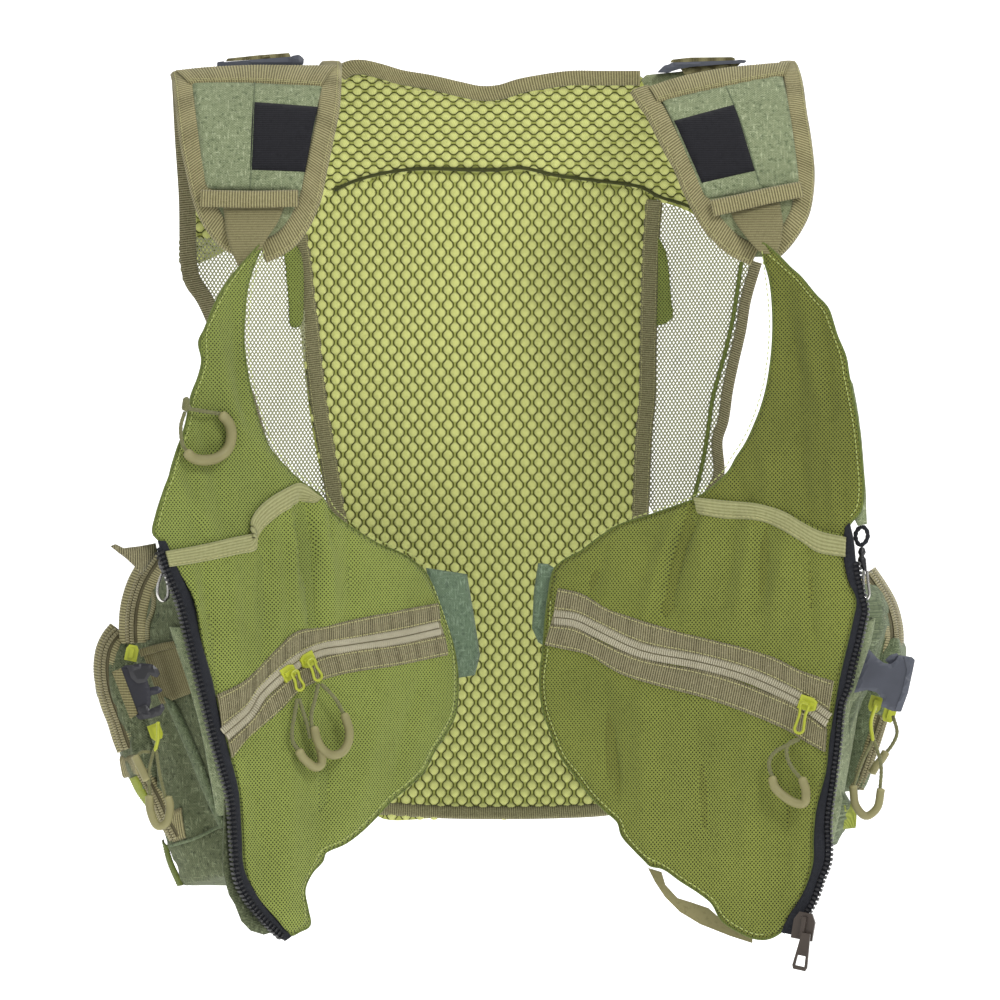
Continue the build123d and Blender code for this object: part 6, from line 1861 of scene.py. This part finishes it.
# Elevations (x, z).
pocket_pull("pocket_pull_left", "pocket_pull_left",
            cords=[points("-200.4,39 -198,24 -194.4,9"),
                   points("-201.6,39 -204.6,25.8 -204,10.2")],
            grip=points("-204.6,11.4 -203.4,1.2 -199.2,-6.6 -194.4,-4.8 -192,5.4 -193.2,10.8"),
            depth=-176.0, tab=points("-199.2,55.8 -199.2,46.2 -201,38.4"),
            replaces=("pocket_pull_left",))
pocket_pull("pocket_pull_left_low", "pocket_pull_left",
            cords=[points("-204,37.8 -208.8,37.8 -212.4,34.8")],
            grip=points("-213,35.4 -209.4,28.2 -205.8,21"), depth=-175.5)
pocket_pull("pocket_pull_right", "pocket_pull_right",
            cords=[points("229.8,45 223.2,31.8 217.8,16.2"),
                   points("230.4,45 234.6,30 234,15")],
            grip=points("217.8,17.4 219.6,5.4 225.6,-0.6 232.2,4.2 234.6,15.6"),
            depth=-161.5, tab=points("231.6,66 228.6,55.8 229.8,44.4"),
            replaces=("pocket_pull_right",))
pocket_pull("pocket_pull_right_far", "pocket_slider_right_b",
            cords=[points("241.8,59.4 244.2,49.2 241.2,42 237,36.6")],
            grip=points("237.6,37.8 234.6,33 231.6,29.4 229.2,25.2"), depth=-152.0)

# ------------------------------------------------------------------ wire snaps
# In the panel's plane (across, up): (wire, swivel).
snaps = {
    "left": (points("""-65.2,-185.3 -67.9,-191.9 -68,-197.4 -65.7,-200.2 -62.5,-198.6
-61.7,-192 -63.4,-185.3"""), points("-66.1,-173.7 -65,-179.3 -64,-184.8")),
    "right": (points("""60,-183.5 59.6,-191.3 60.2,-198 61.9,-199.6 63,-197.4 62.3,-190.2
61.7,-183.5"""), points("58.8,-171.2 58.8,-177.9 60.6,-183.5")),
}
snap_loop = points("""
58.6,-159.5 55.9,-161.8 55.3,-165.7 57.6,-169.6 60.4,-168.4 62.1,-164.5 60.9,-160.6""")
strap_end = points("""
-94.3,-169.6 -91.8,-168.5 -87,-170.7 -77.3,-169.7 -67.4,-168.1 -66.3,-173.1 -71.4,-179.1
-75.9,-185.1 -79.4,-181.8 -84.2,-177.3""")
swivel_taper = ([0, 0.2, 0.35, 0.5, 0.7, 1], [0.7, 1.1, 0.6, 1.15, 1.0, 0.5])
for side, (wire, swivel) in snaps.items():
    surface, body, letter = PLAIN[side], f"tool_clip_{side}", side[0].upper()
    make(f"snap_{letter}_wire", tube(surface.at(spline(wire, 1.0), -6.0), 0.85, step=0.6),
         STEEL, body, replaces=(body,))
    make(f"snap_{letter}_swivel",
         tube(surface.at(spline(swivel, 1.0), -6.0), 2.1, step=0.6, seg=12,
              taper=swivel_taper), BLACK, body)
make("snap_R_loop",
     tube(PLAIN["right"].at(spline(snap_loop, 1.0, True), -5.0), 1.2, step=0.6, closed=True,
          braid=0.15), ZIP_TAPE, "tool_clip_right")
make("waist_strap_end", patch(PLAIN["left"], [strap_end], -8.0, rounding=0.5),
     GROSGRAIN_INNER, "front_left", thick=1.6)

# ------------------------------------------------------------------ stitches
for (body, suffix), shapes in SEAMS.items():
    tan = body == "back" or suffix
    make(f"stitching_{body}{suffix}", join(shapes), THREAD if tan else THREAD_GREEN,
         body)


# ------------------------------------------------------------------ studio (metres)
def build_floor():
    """Floor that curves up into a wall behind the vest."""
    half_width = 6.0
    profile = [(-3.0, -0.20), (1.6, -0.20), (2.2, -0.16), (2.7, -0.02), (3.0, 0.3),
               (3.1, 0.8), (3.1, 4.0)]  # (y, z)
    mesh = bpy.data.meshes.new("floor")
    verts = [(x, y, z) for y, z in profile for x in (-half_width, half_width)]
    faces = [(2 * i, 2 * i + 1, 2 * i + 3, 2 * i + 2) for i in range(len(profile) - 1)]
    mesh.from_pydata(verts, [], faces)
    mesh.polygons.foreach_set("use_smooth", [True] * len(mesh.polygons))
    obj = bpy.data.objects.new("floor", mesh)
    bpy.context.scene.collection.objects.link(obj)
    material = bpy.data.materials.new("floor")
    inputs = Graph(material).shader.inputs
    inputs["Base Color"].default_value = (0.93, 0.93, 0.92, 1)
    inputs["Roughness"].default_value = 0.9
    inputs["Emission Color"].default_value = (1, 1, 1, 1)
    inputs["Emission Strength"].default_value = 0.55
    mesh.materials.append(material)


def area_light(name, place, size, power):
    """Square light aimed at the middle of the vest."""
    light = bpy.data.lights.new(name, "AREA")
    light.size = size
    light.energy = power
    obj = bpy.data.objects.new(name, light)
    bpy.context.scene.collection.objects.link(obj)
    obj.location = place
    aim = Vector((0, 0, 0.2)) - Vector(place)
    obj.rotation_euler = aim.to_track_quat("-Z", "Y").to_euler()


def build_camera():
    camera = bpy.data.cameras.new("cam")
    camera.lens = 132.0
    camera.sensor_width = 36.0
    camera.clip_start = 0.05
    obj = bpy.data.objects.new("cam", camera)
    scene = bpy.context.scene
    scene.collection.objects.link(obj)
    obj.location = EYE / 1000
    obj.rotation_euler = (math.radians(90), 0, 0)
    scene.camera = obj
    scene.view_settings.view_transform = "Standard"
    scene.view_settings.look = "None"


build_floor()
world = bpy.data.worlds.new("studio")
bpy.context.scene.world = world
world.use_nodes = True
background = world.node_tree.nodes["Background"]
background.inputs["Color"].default_value = (1, 1, 1, 1)
background.inputs["Strength"].default_value = 0.5
area_light("key", place=(1.15, -1.7, 1.75), size=0.7, power=25)
area_light("fill", place=(-1.6, -1.7, 0.7), size=1.6, power=4)
area_light("top", place=(0.1, 0.1, 2.2), size=1.2, power=12)
area_light("rim", place=(0.5, 1.6, 1.2), size=1.4, power=6)
build_camera()
